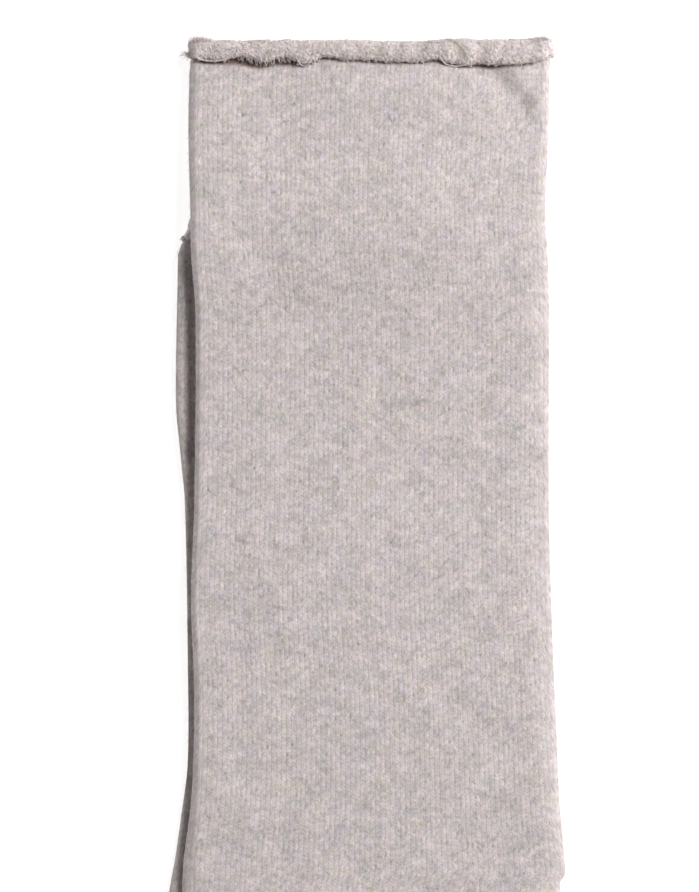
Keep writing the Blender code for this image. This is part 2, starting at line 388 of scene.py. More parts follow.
@dataclass(frozen=True)
class FlatSock:
    """The form of one sock laid flat, in millimetres. Its rows of points run from
    the rolled rim down the leg, round the ankle and along the foot."""

    name: str
    node: str
    rim: float
    foot_left: float
    roll_length: float
    roll_proud: float
    roll_insets: tuple  # of the roll's two ends from the leg's sides
    leg: tuple
    lift: tuple
    crown: tuple
    edge: tuple
    pile: tuple
    tufts: tuple
    strands: tuple
    dents: tuple
    leg_step: float = 1.9
    ankle_rows: int = 48
    foot_rows: int = 34
    toe_rows: int = 24
    below_roll: float = 9.0  # where the leg's even rows start
    outline_top: float = 200.0  # far above its rim, where its outline is left open
    outline_step: int = 3  # rungs for each corner of the outline

    def leg_sides(self, down: np.ndarray) -> tuple[np.ndarray, np.ndarray]:
        """x of the leg's two folded sides."""
        left = along_table(self.leg, "down", "left", down)
        return left, along_table(self.leg, "down", "right", down)

    def at_ankle(self, x: float) -> np.ndarray:
        """x and y of a side of the leg where the instep starts to bend."""
        return np.array([x - self.foot_left, self.rim - FOOT.leg_depth])

    def leg_rungs(self) -> Rungs:
        """Makes rungs from below the roll down to the ankle.

        Returns:
            The rungs.
        """
        count = round((FOOT.leg_depth - self.below_roll) / self.leg_step)
        down = self.below_roll + (FOOT.leg_depth - self.below_roll) * np.arange(count) / count
        sides = (np.stack([x, self.rim - down], 1) for x in self.leg_sides(down))
        return level_rungs(*sides, down)

    def foot_axis(self) -> tuple[np.ndarray, np.ndarray, np.ndarray, float]:
        """Places the foot.

        Returns:
            The heel's centre, the foot's direction, the way to its sole, and how
            far ahead of the heel's centre the instep's bend ends.
        """
        ahead = -np.array([math.cos(FOOT.slope), math.sin(FOOT.slope)])
        to_sole = np.array([math.sin(FOOT.slope), -math.cos(FOOT.slope)])
        bent = np.array([1 - math.cos(FOOT.bend), math.sin(FOOT.bend)])
        middle = self.at_ankle(FOOT.ankle_left) - FOOT.instep_radius * bent
        middle = middle + to_sole * FOOT.width / 2
        heel_x = FOOT.heel_right - self.foot_left - FOOT.heel_radius
        back = (heel_x - middle[0]) / -ahead[0]
        return np.array([heel_x, middle[1] - ahead[1] * back]), ahead, to_sole, back

    def heel_side(self, share: np.ndarray) -> np.ndarray:
        """Walks the outline from the ankle's back, round the heel, to the sole.

        Args:
            share: How much of that way is walked, from 0 to 1.

        Returns:
            One x and y for each share.
        """
        heel, ahead, to_sole, back = self.foot_axis()
        ankle = self.at_ankle(FOOT.ankle_right)
        straight, arc = ankle[1] - heel[1], FOOT.heel_radius * FOOT.bend
        walked = share * (straight + arc + back)
        t = np.clip(walked / straight, 0, 1)
        bulge = heel[0] + FOOT.heel_radius - ankle[0]
        down_ankle = [ankle[0] + bulge * np.sin(t * math.pi / 2), ankle[1] - walked]
        angle = -np.clip(walked - straight, 0, arc) / FOOT.heel_radius
        round_heel = heel + FOOT.heel_radius * turned(angle)
        past = (walked - straight - arc)[:, None]
        along_sole = heel + to_sole * FOOT.heel_radius + ahead * past
        on_heel = np.where(past >= 0, along_sole, round_heel)
        return np.where((walked >= straight)[:, None], on_heel, np.stack(down_ankle, 1))

    def ankle_rungs(self) -> Rungs:
        """Makes rungs that fan out from the instep's bend to the heel.

        Returns:
            The rungs.
        """
        share = np.arange(self.ankle_rows) / self.ankle_rows
        centre = self.at_ankle(FOOT.ankle_left) - (FOOT.instep_radius, 0.0)
        left = centre + FOOT.instep_radius * turned(-FOOT.bend * share)
        return level_rungs(left, self.heel_side(share))

    def foot_rungs(self, inset: float) -> Rungs:
        """Makes rungs across the foot and the rounded toe, which thins at its edge.

        Args:
            inset: How far inside the outer skin the toe's edge is.

        Returns:
            The rungs, as far as the last one before the toe's tip.
        """
        heel, ahead, to_sole, back = self.foot_axis()
        toe_start = FOOT.length - FOOT.heel_radius - FOOT.toe_length
        even = back + (toe_start - back) * np.arange(self.foot_rows) / self.foot_rows
        angle = math.pi / 2 * np.arange(self.toe_rows) / self.toe_rows
        reach = (FOOT.toe_length - inset) * np.sin(angle)
        to_edge = np.minimum((FOOT.toe_length - inset - reach) / CLOTH.half, 1.0)
        rounded = CLOTH.half * np.sqrt(1 - (1 - to_edge) ** 2)
        narrow = inset + (FOOT.width / 2 - inset) * np.cos(angle)
        width = np.concatenate([np.full(self.foot_rows, FOOT.width / 2), narrow])
        half = np.concatenate([np.full(self.foot_rows, CLOTH.half), rounded])
        middle = heel + ahead * np.concatenate([even, toe_start + reach])[:, None]
        out = to_sole * width[:, None]
        return level_rungs(middle - out, middle + out, half=half)

    def rungs(self, inset: float = 0.0) -> Rungs:
        """All rungs from below the roll to the toe."""
        return self.leg_rungs().joined(self.ankle_rungs()).joined(self.foot_rungs(inset))

    def toe_tip(self, inset: float) -> np.ndarray:
        """The furthest point of the toe, seen from above."""
        heel, ahead, _, _ = self.foot_axis()
        return heel + ahead * (FOOT.length - FOOT.heel_radius - inset)

    def outline(self) -> np.ndarray:
        """Draws the sock's outline on the table, open far above its rim.

        Returns:
            Its corners, down the left side and up the right one.
        """
        rungs = self.rungs().every(self.outline_step)
        first, last = ((side[0][0], self.outline_top) for side in (rungs.left, rungs.right))
        return np.array([first, *rungs.left, *rungs.right[::-1], last])


@dataclass(frozen=True)
class Bed:
    """What a sock lies on: the table, and for the upper one the lower sock."""

    below: FlatSock | None
    hang_start: float = 4.0  # past the lower sock's edge
    hang_run: float = 24.0

    def lift(self, sock: FlatSock, points: np.ndarray, down: np.ndarray) -> np.ndarray:
        """Gives the height of a sock's underside.

        Args:
            sock: The sock that lies here.
            points: Places on it, one x and y a row.
            down: How far below the rim each is.

        Returns:
            One height for each point, in millimetres.
        """
        held = along_table(sock.lift, "down", "lift", down)
        if self.below is None:
            return held
        on_foot = down >= FOOT.leg_depth
        past = distance_outside(points[on_foot], self.below.outline()) - self.hang_start
        held[on_foot] *= 1 - smooth(past / self.hang_run)
        return held


# ---------------------------------------------------------------- meshes


def put(name: str, data: bpy.types.ID) -> bpy.types.Object:
    """Puts new data into the scene as an object.

    Args:
        name: The object's name.
        data: Its mesh, light or camera.

    Returns:
        The new object.
    """
    made = bpy.data.objects.new(name, data)
    bpy.context.scene.collection.objects.link(made)
    return made


class MeshMaker:
    """Turns points in the sock's millimetres into objects in the frame."""

    def __init__(self) -> None:
        """Finds where the frame holds the middle of the upper sock's rim."""
        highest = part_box("upper_sock")[1]
        self.origin = np.array([highest.x / MM - FOOT.heel_right, highest.y / MM, 0.0])

    def make(
        self, name: str, points: np.ndarray, faces: list, **values: np.ndarray
    ) -> bpy.types.Object:
        """Makes a smooth-shaded object that stays above the table.

        Args:
            name: The object's name.
            points: Its points, in the sock's millimetres.
            faces: The faces as lists of point numbers.
            values: Numbers for its points, by the name that its material reads.

        Returns:
            The new object, linked to the scene.
        """
        points = points.reshape(-1, 3).copy()
        points[:, 2] = np.maximum(points[:, 2], 0.0)
        mesh = bpy.data.meshes.new(name)
        mesh.from_pydata(((points + self.origin) * MM).tolist(), [], faces)
        mesh.shade_smooth()
        mesh.update()
        for label, numbers in values.items():
            attribute = mesh.attributes.new(label, "FLOAT", "POINT")
            attribute.data.foreach_set("value", numbers.astype(np.float32).ravel())
        return put(name, mesh)


FOLD_STEPS = 20  # on each rounded quarter of a section
WIDEST_ROUND = 0.46  # of a section's width


def flat_section(width: float, stand: float, reach: tuple) -> tuple[np.ndarray, np.ndarray]:
    """Draws the closed line round a flattened sock, cut across.

    Args:
        width: From one folded side to the other.
        stand: How far each face stands off the folds.
        reach: How far in the upper face's left and right and the lower face's
            sides start to round.

    Returns:
        The line's points, evenly apart from the left fold over the upper face, and
        the outward normals there.
    """
    left, right, beneath = (min(part, WIDEST_ROUND * width) for part in reach)
    turn = np.linspace(0, math.pi / 2, FOLD_STEPS)
    away, up = 1 - np.cos(turn), stand * np.sin(turn)
    across = [left * away, width - right * away[::-1], width - beneath * away]
    across = np.concatenate([*across, beneath * away[::-1]])
    height = np.concatenate([up, up[::-1], -up, -up[::-1]])
    steps = np.hypot(np.diff(across), np.diff(height))
    walked = np.concatenate([[0.0], np.cumsum(steps)])
    even = walked[-1] * np.arange(CLOTH.around) / CLOTH.around
    points = np.stack([np.interp(even, walked, line) for line in (across, height)], 1)
    tangent = unit(np.roll(points, -1, axis=0) - np.roll(points, 1, axis=0))
    return points, np.stack([-tangent[:, 1], tangent[:, 0]], 1)


@dataclass(frozen=True)
class Shell:
    """The rows of points of a sock's whole wall, from the inner toe over the rim to
    the outer toe, with terry before the first row of the leg and plain knit from it."""

    points: np.ndarray
    gap: np.ndarray  # how much painted shade a point takes in the gap under the roll's lip
    first_bead: int
    first_leg: int

    def bead(self) -> np.ndarray:
        """The rows of the rolled rim."""
        return self.points[self.first_bead : self.first_leg]


@dataclass(frozen=True)
class WallForm:
    """The finer form of the wall and its rolled rim, in millimetres and shares."""

    inner_step: int = 6  # rungs for each row of the inner skin
    under_reach: float = 2.2  # how far in the lower face's sides start to round
    foot_reach: tuple = (6.0, 6.0)  # and the upper face's, on the foot
    bead_rows: int = 22
    bead_inset: float = 0.45  # the loops stand this much above the bead
    top_inset: float = 0.25  # and this much past its top edge
    lip_inset: float = 0.45  # and past its lip
    side_roll: float = 0.15  # how much of the roll's stand there is at its ends
    end_round: tuple = (0.5, 0.8, 0.8)  # reaches of the roll's ends, for each of its stand
    crease: tuple = (0.62, 0.16)  # where over the bead the gap's painted shade starts, and its run
    open_gap: float = 0.6  # the width from which a gap is all painted dark inside
    # How far the rows between the crease and the leg's first row are on their way
    neck_shares: tuple = (0.1, 0.2, 0.3, 0.4, 0.5, 0.6, 0.72, 0.86)
    least_gap: float = 0.3  # the width from which the gap at the lip is all dark: fully sunk, and fully painted as shade
    below_lip: float = 0.6  # how far it reaches below the lip, for each of its width
    gap_fade: float = 1.3  # over how much it ends
    gap_depth: float = 0.5  # how far the gap sinks into the leg
    upper_side: float = 0.7  # of the half thickness, over which the creases fade in
    inner_dent: float = 0.8  # of the wall, the deepest dent in the inner skin
    lump_seed: int = 41
    lump_count: int = 26
    lump_waves: tuple = (9, 40)  # round the sock
    lump_tilt: float = 0.25
    lump_height: float = 0.035


@dataclass
class SockWall:
    """Builds the knitted wall of one sock."""

    sock: FlatSock
    bed: Bed
    maker: MeshMaker
    form: WallForm = WallForm()

    def __post_init__(self) -> None:
        """Works out the wall's points, which its dressing needs too."""
        self.shell = self.build_shell()

    def ring(
        self,
        left: np.ndarray,
        right: np.ndarray,
        down: float,
        stand: float,
        reach: tuple,
        relief: np.ndarray | float = 0.0,
    ) -> np.ndarray:
        """Places one ring of points.

        Args:
            left: x and y of the left folded side.
            right: x and y of the right one.
            down: How far below the rim the ring is.
            stand: How far both faces stand off the folds.
            reach: The section's three reaches.
            relief: What to add along its normals.

        Returns:
            The ring's points.
        """
        span = right - left
        width = float(np.linalg.norm(span))
        points, normals = flat_section(width, stand, reach)
        line = points + normals * np.reshape(relief, (-1, 1))
        plan = left + span / width * line[:, :1]
        lift = self.bed.lift(self.sock, plan, np.full(len(plan), down))
        return np.column_stack([plan, lift + CLOTH.half + line[:, 1]])

    def reach_at(self, down: float) -> tuple:
        """Finds how far in the faces start to round.

        Args:
            down: How far below the rim a ring is.

        Returns:
            The upper face's left and right reach, and the lower face's.
        """
        if down >= FOOT.leg_depth:
            return (*self.form.foot_reach, self.form.under_reach)
        sides = (along_table(self.sock.crown, "down", side, down) for side in ("left", "right"))
        return (*map(float, sides), self.form.under_reach)

    def outer_rows(self) -> np.ndarray:
        """Makes the outer skin from below the roll to the toe, with its ribs.

        Returns:
            Rows of rings of points.
        """
        rib = np.where(np.arange(CLOTH.around) % 2, CLOTH.rib, -CLOTH.rib)
        rows = [
            self.ring(left, right, down, half, self.reach_at(down), rib * (half / CLOTH.half))
            for left, right, down, half in zip(*self.sock.rungs().parts())
        ]
        return np.array(rows)

    def inner_rows(self) -> np.ndarray:
        """Makes the inner skin from the toe up to the rim.

        Returns:
            Rows of rings of points.
        """
        rows = []
        rungs = self.sock.rungs(CLOTH.wall).every(self.form.inner_step)
        for left, right, down, half in zip(*rungs.parts()):
            step = unit(right - left) * CLOTH.wall
            stand = half * CLOTH.hollow / CLOTH.flat
            rows.append(self.ring(left + step, right - step, down, stand, (stand * 2,) * 3))
        return np.array(rows[::-1])

    def edge_at(self, ring: np.ndarray, column: str) -> np.ndarray:
        """Reads the rolled rim's table round a ring.

        Args:
            ring: The ring's points.
            column: The name of the table's field.

        Returns:
            One value a point, from the place across on the upper face and from
            the opposite place underneath, with a soft change at the folds.
        """
        middle = (ring[:, 2].max() + ring[:, 2].min()) / 2
        above = smooth(0.5 + (ring[:, 2] - middle) / (2 * CLOTH.wall))
        over = along_table(self.sock.edge, "across", column, ring[:, 0])
        under = along_table(self.sock.edge, "across", column, -ring[:, 0])
        return over * above + under * (1 - above)

    def bead_ring(self, down_share: float, out: float) -> np.ndarray:
        """Places one ring of the rolled rim.

        Args:
            down_share: How far down it is, for each of the roll's length.
            out: How far out it is, as in the table of the roll's section.

        Returns:
            The ring's points.
        """
        form, sock = self.form, self.sock
        stand = out * (sock.roll_proud - form.bead_inset if out >= 0 else CLOTH.wall)
        spread = stand * (form.side_roll if out >= 0 else 1.0)
        down = down_share * sock.roll_length
        left, right = (float(side) for side in sock.leg_sides(down))
        sides = left - spread + sock.roll_insets[0], right + spread - sock.roll_insets[1]
        ends = (np.array([x, sock.rim]) for x in sides)
        reach = tuple(part * (CLOTH.half + stand) for part in form.end_round)
        ring = self.ring(*ends, down, CLOTH.half + stand, reach)
        top = self.edge_at(ring, "top") + form.top_inset
        lip = self.edge_at(ring, "lip") - form.lip_inset
        ring[:, 1] -= top + down_share * (lip - top)
        return ring

    def bead_rows(self) -> tuple[np.ndarray, np.ndarray]:
        """Makes the rolled rim, from the inner skin to the crease under its lip.

        Returns:
            The rows of points, and how much painted shade of the gap each point takes.
        """
        form = self.form
        share = np.linspace(0, 1, form.bead_rows)
        knots = np.linspace(0, 1, len(BEAD))
        downs = np.interp(share, knots, [row.down for row in BEAD])
        outs = np.interp(share, knots, [row.out for row in BEAD])
        rows = np.array([self.bead_ring(*place) for place in zip(downs, outs)])
        width = np.array([self.edge_at(ring, "gap") for ring in rows])
        start, run = form.crease
        # the gap's painted shade, coming in over the roll's underside and where the gap is wide
        return rows, smooth((share - start) / run)[:, None] * smooth(width / form.open_gap)

    def neck_rows(self, crease: np.ndarray, first: np.ndarray) -> tuple[np.ndarray, np.ndarray]:
        """Joins the crease under the roll's lip to the leg's first even row.

        Args:
            crease: The bead's last ring.
            first: The leg's first ring.

        Returns:
            The rows of points, and how deep in the gap each point is, which sinks the
            cloth there and is painted as shade.
        """
        form = self.form
        lip, width = (self.edge_at(crease, column) for column in ("lip", "gap"))
        rows, gaps = [], []
        for share in form.neck_shares:
            ring = crease + (first - crease) * share
            past = self.sock.rim - ring[:, 1] - lip - form.below_lip * width
            # how deep in the gap a point is: the cloth sinks by it, and it is painted as shade
            dark = smooth(width / form.least_gap) * (1 - smooth(past / form.gap_fade + 0.5))
            ring[:, 2] -= form.gap_depth * dark * np.sign(ring[:, 2] - ring[:, 2].mean())
            rows.append(ring)
            gaps.append(dark)
        return np.array(rows), np.array(gaps)

    def dent_at(self, points: np.ndarray) -> np.ndarray:
        """Adds up the troughs and ridges of the cloth.

        Args:
            points: Rows of rings of points.

        Returns:
            How far the upper face rises at each point.
        """
        x, y = points[..., 0], points[..., 1] - self.sock.rim
        rise = np.zeros(x.shape)
        for dent in self.sock.dents:
            start, end = np.array(dent.start), np.array(dent.end)
            way = end - start
            t = ((x - start[0]) * way[0] + (y - start[1]) * way[1]) / (way @ way)
            held = np.clip(t, 0, 1)
            away = np.hypot(x - start[0] - held * way[0], y - start[1] - held * way[1])
            rise += dent.rise * np.exp(-((away / dent.reach) ** 2))
        return rise

    def lumps(self, rows: int) -> np.ndarray:
        """Makes the uneven swell of the rolled rim.

        Args:
            rows: How many rows it covers.

        Returns:
            Rows of rises, in millimetres.
        """
        form = self.form
        chance = np.random.default_rng(form.lump_seed)
        turn = 2 * math.pi * np.arange(CLOTH.around) / CLOTH.around
        row = np.arange(rows)[:, None]
        rise = np.zeros((rows, CLOTH.around))
        for _ in range(form.lump_count):
            waves = chance.integers(*form.lump_waves)
            tilt = chance.uniform(-form.lump_tilt, form.lump_tilt)
            rise += np.sin(waves * turn + tilt * row + chance.uniform(0, 2 * math.pi))
        return form.lump_height * rise * np.sin(np.linspace(0, math.pi, rows))[:, None]

    def build_shell(self) -> Shell:
        """Puts all the rows of the wall together, with the rim's lumps and the dents.

        Returns:
            The wall's points, and the painted shade of the gap that its finish needs.
        """
        inner, outer = self.inner_rows(), self.outer_rows()
        bead, bead_gap = self.bead_rows()
        neck, neck_gap = self.neck_rows(bead[-1], outer[0])
        bead = bead + grid_normals(bead) * self.lumps(len(bead))[..., None]
        face = np.concatenate([neck, outer])
        middle = (face[..., 2].max(axis=1) + face[..., 2].min(axis=1))[:, None] / 2
        above = smooth((face[..., 2] - middle) / (self.form.upper_side * CLOTH.half))
        face[..., 2] += self.dent_at(face) * above
        inner[..., 2] += np.maximum(self.dent_at(inner), -self.form.inner_dent * CLOTH.wall)
        points = np.concatenate([inner, bead, face])
        points[..., 2] = np.maximum(points[..., 2], 0.0)
        # the painted shade of the gap, none on the inner skin and the leg
        gap = np.concatenate([bead_gap, neck_gap])
        gap = np.pad(gap, ((len(inner), len(outer)), (0, 0)))
        return Shell(points, gap, len(inner), len(inner) + len(bead))

    def stitch_places(self) -> np.ndarray:
        """Counts the courses from the rim to each point, along its own wale.

        Returns:
            One number of courses for each point, under 0 on the inner skin.
        """
        steps = np.linalg.norm(np.diff(self.shell.points, axis=0), axis=2)
        walked = np.concatenate([np.zeros((1, CLOTH.around)), np.cumsum(steps, axis=0)])
        return (walked - walked[self.shell.first_bead]) / CLOTH.course

    def faces(self) -> list:
        """Lists the wall's faces.

        Returns:
            The quads between the rows, and a fan at each toe.
        """
        rows, around = self.shell.points.shape[:2]
        k = np.arange(around)
        after = (k + 1) % around
        last = (rows - 1) * around
        inner_tip, outer_tip = np.full(around, rows * around), np.full(around, rows * around + 1)
        inner_fan = np.stack([inner_tip, k, after], 1)
        outer_fan = np.stack([last + k, outer_tip, last + after], 1)
        return ring_quads(rows, around).tolist() + inner_fan.tolist() + outer_fan.tolist()

    def tip(self, inset: float) -> np.ndarray:
        """Finds the point that closes a toe.

        Args:
            inset: How far inside the outer skin it is.

        Returns:
            The point.
        """
        plan = self.sock.toe_tip(inset)[None]
        lift = self.bed.lift(self.sock, plan, np.array([FOOT.leg_depth]))
        return np.array([*plan[0], float(lift[0]) + CLOTH.half])

    def stitch_map(self) -> np.ndarray:
        """Lays out the knit: wales across, courses along.

        Returns:
            The place of each corner of each face, in the order of the faces.
        """
        courses = self.stitch_places()
        k = np.arange(CLOTH.around)
        after = (k + 1) % CLOTH.around
        low, high = courses[:-1], courses[1:]
        v = np.stack([low, high, high[:, after], low[:, after]], 2).reshape(-1, 4)
        u = np.tile(np.stack([k, k, k + 1, k + 1], 1) / 2, (len(low), 1))
        toe = np.stack([k, k, k + 1], 1) / 2
        fans = [np.stack([toe, np.repeat(end[:, None], 3, 1)], 2) for end in courses[[0, -1]]]
        parts = [np.stack([u, v], 2), *fans]
        return np.concatenate([part.reshape(-1, 2) for part in parts]).astype(np.float32)

    def piece(
        self, name: str, points: np.ndarray, faces: list, **values: np.ndarray
    ) -> bpy.types.Object:
        """Makes a piece that is named for this sock."""
        return self.maker.make(f"{self.sock.name}_{name}", points, faces, **values)

    def build(self) -> bpy.types.Object:
        """Makes the wall's object, with its stitch map and what the finish reads.

        Returns:
            The new object.
        """
        shell = self.shell
        points = [*shell.points.reshape(-1, 3), self.tip(CLOTH.wall), self.tip(0.0)]
        terry = np.zeros(shell.gap.shape)
        terry[: shell.first_leg] = 1.0
        terry = np.concatenate([terry.ravel(), [1.0, 0.0]])
        # the painted shade of the gap under the roll's lip, which the finish reads
        gap = np.concatenate([shell.gap.ravel(), [0.0, 0.0]])
        wall = self.piece("knit", np.array(points), self.faces(), terry=terry, gap=gap)
        stitches = wall.data.uv_layers.new(name="stitches")
        stitches.data.foreach_set("uv", self.stitch_map().ravel())
        return wall


@dataclass(frozen=True)
class LoopForm:
    """The form of the long terry loops, in millimetres and shares."""

    rows: int = 16  # rows of loops over the rolled rim
    yarn: float = 0.115  # radius
    span: float = 0.75
    spans: tuple = (0.75, 1.3)  # the least and the most of it
    heights: tuple = (0.7, 1.25)  # the least and the most of the pile's height
    steps: int = 5
    sides: int = 3
    twist: float = 0.8
    lean: float = 0.75
    swell: float = 0.35  # how much wider a loop is halfway up
    arch: float = 0.8  # under 1, its top is flatter
    hanging: float = 0.5  # share of the loops at the lip that hang over it
    hang: tuple = (0.6, 0.25)  # where over the roll they start, and over what run
    droop: tuple = (0.0, -0.9, -0.15)
    full_droop: float = 0.6  # the shag at which they droop that much


@dataclass(frozen=True)
class BedForm:
    """The bed of short terry curls under the long loops, in millimetres and shares."""

    finer: int = 3  # points for each point of the wall's rings
    rows: int = 60
    curl: tuple = (0.6, 0.66)  # a curl's width and its length over the roll
    sunk: float = 0.35  # how far the bed's two edges are inside the rim
    edge: float = 0.05  # of the way over the roll, in which they rise
    lowest: float = 0.05
    highest: float = 0.36
    uneven: float = 0.2  # of a curl's height
    bend: float = 0.7  # how far the rows of curls wander
    bend_scale: float = 0.6
    tone_scale: float = 7.3
    shag_share: float = 0.3  # of the long loops' shag
    shag: tuple = (0.55, 0.3)  # where over the roll it starts, and over what run


@dataclass
class TerryPile:
    """Covers a sock's rolled rim with terry."""

    wall: SockWall
    seed: int
    loops: LoopForm
    curls: BedForm
    first_row: float = 1.6  # of the bead's rows
    last_row: float = 18.0
    farthest: float = 0.999  # of the way over those rows
    shade_start: tuple = (0.74, 0.2)  # over the roll: where the gap's painted shade starts, its run
    shade_gap: tuple = (0.3, 1.4)  # the gap's width from which there is painted shade, and its run

    def __post_init__(self) -> None:
        """Starts the pile's own chance."""
        self.chance = np.random.default_rng(self.seed)

    def on_roll(self, across: np.ndarray, over: np.ndarray) -> tuple:
        """Finds places on the rolled rim.

        Args:
            across: The places round the sock, counted in the wall's points.
            over: How far over the roll they are, from 0 to 1.

        Returns:
            The places, the outward normals there, and the way round the sock.
        """
        bead = self.wall.shell.bead()
        row = self.first_row + (self.last_row - self.first_row) * over
        k, r = across.astype(int) % CLOTH.around, row.astype(int)
        after = (k + 1) % CLOTH.around
        a, b = (across % 1)[:, None], (row % 1)[:, None]
        spots, outward = (
            grid[r, k] * (1 - a) * (1 - b)
            + grid[r, after] * a * (1 - b)
            + grid[r + 1, k] * (1 - a) * b
            + grid[r + 1, after] * a * b
            for grid in (bead, grid_normals(bead))
        )
        return spots, unit(outward), unit(bead[r, after] - bead[r, k])

    def pile_at(self, column: str, spots: np.ndarray) -> np.ndarray:
        """Reads the pile's table at places on the roll."""
        return along_table(self.wall.sock.pile, "across", column, spots[:, 0])

    def shade(self, spots: np.ndarray, over: np.ndarray) -> np.ndarray:
        """Finds how much painted shade places take in the gap under the lip.

        Args:
            spots: The places.
            over: How far over the roll they are.

        Returns:
            One share for each place.
        """
        (start, run), (least, more) = self.shade_start, self.shade_gap
        width = self.wall.edge_at(spots, "gap")
        return smooth((over - start) / run) * smooth((width - least) / more)

    def build_bed(self) -> bpy.types.Object:
        """Makes the bed of short curls as one skin over the roll.

        Returns:
            The new object, with a tone for each curl and the gap's painted shade.
        """
        form = self.curls
        around = CLOTH.around * form.finer
        k, row = np.meshgrid(np.arange(around), np.arange(form.rows))
        k, over = k.ravel(), row.ravel() / (form.rows - 1)
        spots, outward, _ = self.on_roll(k / form.finer, over * self.farthest)
        grid = spots.reshape(form.rows, around, 3)
        length = np.linalg.norm(np.diff(grid, axis=0), axis=2).mean(axis=1)
        walked = np.concatenate([[0.0], np.cumsum(length)])[row.ravel()]
        radius = 2 * np.ptp(spots[:, 0]) / (2 * math.pi * form.curl[0])
        around_roll = radius * turned(2 * math.pi * k / around)
        places = np.column_stack([around_roll, walked / form.curl[1]])
        rise, tone = np.empty(len(places)), np.empty(len(places))
        noise.seed_set(self.seed)  # noise vectors follow the clock without a seed
        for i, place in enumerate(places.tolist()):
            bend = noise.noise_vector(Vector(place) * form.bend_scale)
            distances, cells = noise.voronoi(Vector(place) + form.bend * bend)
            rise[i] = 1.0 - min(distances[0], 1.0) ** 2
            tone[i] = noise.cell(cells[0] * form.tone_scale)
        unlike = 1 - form.uneven + form.uneven * tone
        height = form.lowest + (form.highest - form.lowest) * rise * unlike
        start, run = form.shag
        longer = self.pile_at("shag", spots) * smooth((over - start) / run)
        edge = smooth(np.minimum(over, 1 - over) / form.edge)
        height = (height + form.shag_share * longer * rise) * edge - form.sunk * (1 - edge)
        points = spots + outward * height[:, None]
        faces = ring_quads(form.rows, around).tolist()
        # the painted shade of the gap under the lip
        shade = self.shade(spots, over)
        return self.wall.piece("terry_bed", points, faces, tone=(1 + tone) / 2, gap=shade)

    def build_loops(self) -> bpy.types.Object:
        """Makes the long loops as one object of small closed tubes.

        Returns:
            The new object, with a tone for each loop and the gap's painted shade.
        """
        form, chance = self.loops, self.chance
        wale, course = np.meshgrid(np.arange(CLOTH.wales), np.arange(form.rows))
        count = wale.size
        over = (course.ravel() + chance.uniform(0, 1, count)) / form.rows * self.farthest
        places = 2 * (wale.ravel() + chance.uniform(0, 1, count))
        roots, outward, way = self.on_roll(places, over)
        twist = chance.normal(0, form.twist, count)[:, None]
        flat = way * np.cos(twist) + np.cross(outward, way) * np.sin(twist)
        side = np.cross(outward, flat)
        lean = chance.normal(0, form.lean, (count, 2))
        up = unit(outward + flat * lean[:, :1] + side * lean[:, 1:])
        start, run = form.hang
        at_lip = smooth((over - start) / run) * (chance.uniform(0, 1, count) < form.hanging)
        longer = self.pile_at("shag", roots) * at_lip
        up = unit(up + np.array(form.droop) * (longer / form.full_droop)[:, None])
        height = self.pile_at("height", roots) * chance.uniform(*form.heights, count)
        height = (height + longer)[:, None]
        span = (form.span * chance.uniform(*form.spans, count))[:, None]
        lines = []
        for angle in np.linspace(0, math.pi, form.steps + 1):
            swell = 1 + form.swell * math.sin(angle)
            across = flat * (-math.cos(angle) * swell * span / 2)
            rise = math.sin(angle) ** form.arch * height - form.yarn
            lines.append(roots + across + up * rise)
        points = tube_points(np.stack(lines, 1), side, form.yarn, form.sides)
        faces = tube_faces(count, form.steps + 1, form.sides)
        each = (form.steps + 1) * form.sides
        tone = np.repeat(chance.uniform(0, 1, count), each)
        # the painted shade of the gap under the lip, one for each loop
        shade = np.repeat(self.shade(roots, over), each)
        return self.wall.piece("terry_loops", points, faces, tone=tone, gap=shade)


def tube_points(
    lines: np.ndarray, side: np.ndarray, radius: float | np.ndarray, sides: int
) -> np.ndarray:
    """Puts rings of points round many short lines.

    Args:
        lines: The lines' points, one line a row.
        side: A direction off each line, or off each of its points.
        radius: The tubes' radius, or one for each line.
        sides: How many sides a tube has.

    Returns:
        The points in order of line, step along it and side.
    """
    tangent = unit(np.gradient(lines, axis=1))
    side = side[:, None] if side.ndim == 2 else side
    square = unit(side - tangent * (side * tangent).sum(axis=2, keepdims=True))
    other = np.cross(tangent, square)
    rings = [
        lines + radius * (square * math.cos(angle) + other * math.sin(angle))
        for angle in 2 * math.pi * np.arange(sides) / sides
    ]
    return np.stack(rings, 2)


ROUND_FIRST = [0, 3, 2, 1]  # the corners of a tube's face, first round it


def tube_faces(count: int, steps: int, sides: int) -> list:
    """Lists the faces of many closed tubes of the same build.

    Args:
        count: How many tubes there are.
        steps: Rings of points in each.
        sides: Points in each ring.

    Returns:
        The faces as lists of point numbers.
    """
    quads = ring_quads(steps, sides)[:, ROUND_FIRST]
    k = np.arange(sides)
    caps = np.array([k[::-1], sides * (steps - 1) + k])
    offset = steps * sides * np.arange(count)[:, None, None]
    walls = (quads[None] + offset).reshape(-1, 4).tolist()
    return walls + (caps[None] + offset).reshape(-1, sides).tolist()


@dataclass(frozen=True)
class FibreForm:
    """Loose fibre ends: how many, how long, how far they stand up for each
    millimetre that they lie along the cloth, how thick, and what share of them
    grows at the two folds."""

    count: int
    lengths: tuple
    rises: tuple
    thick: float
    at_folds: float = 0.0


FACE_NAP = FibreForm(7000, (0.5, 1.7), (0.2, 0.8), 0.024, at_folds=0.4)
RIM_FUZZ = FibreForm(11000, (0.5, 1.35), (0.3, 1.8), 0.032)


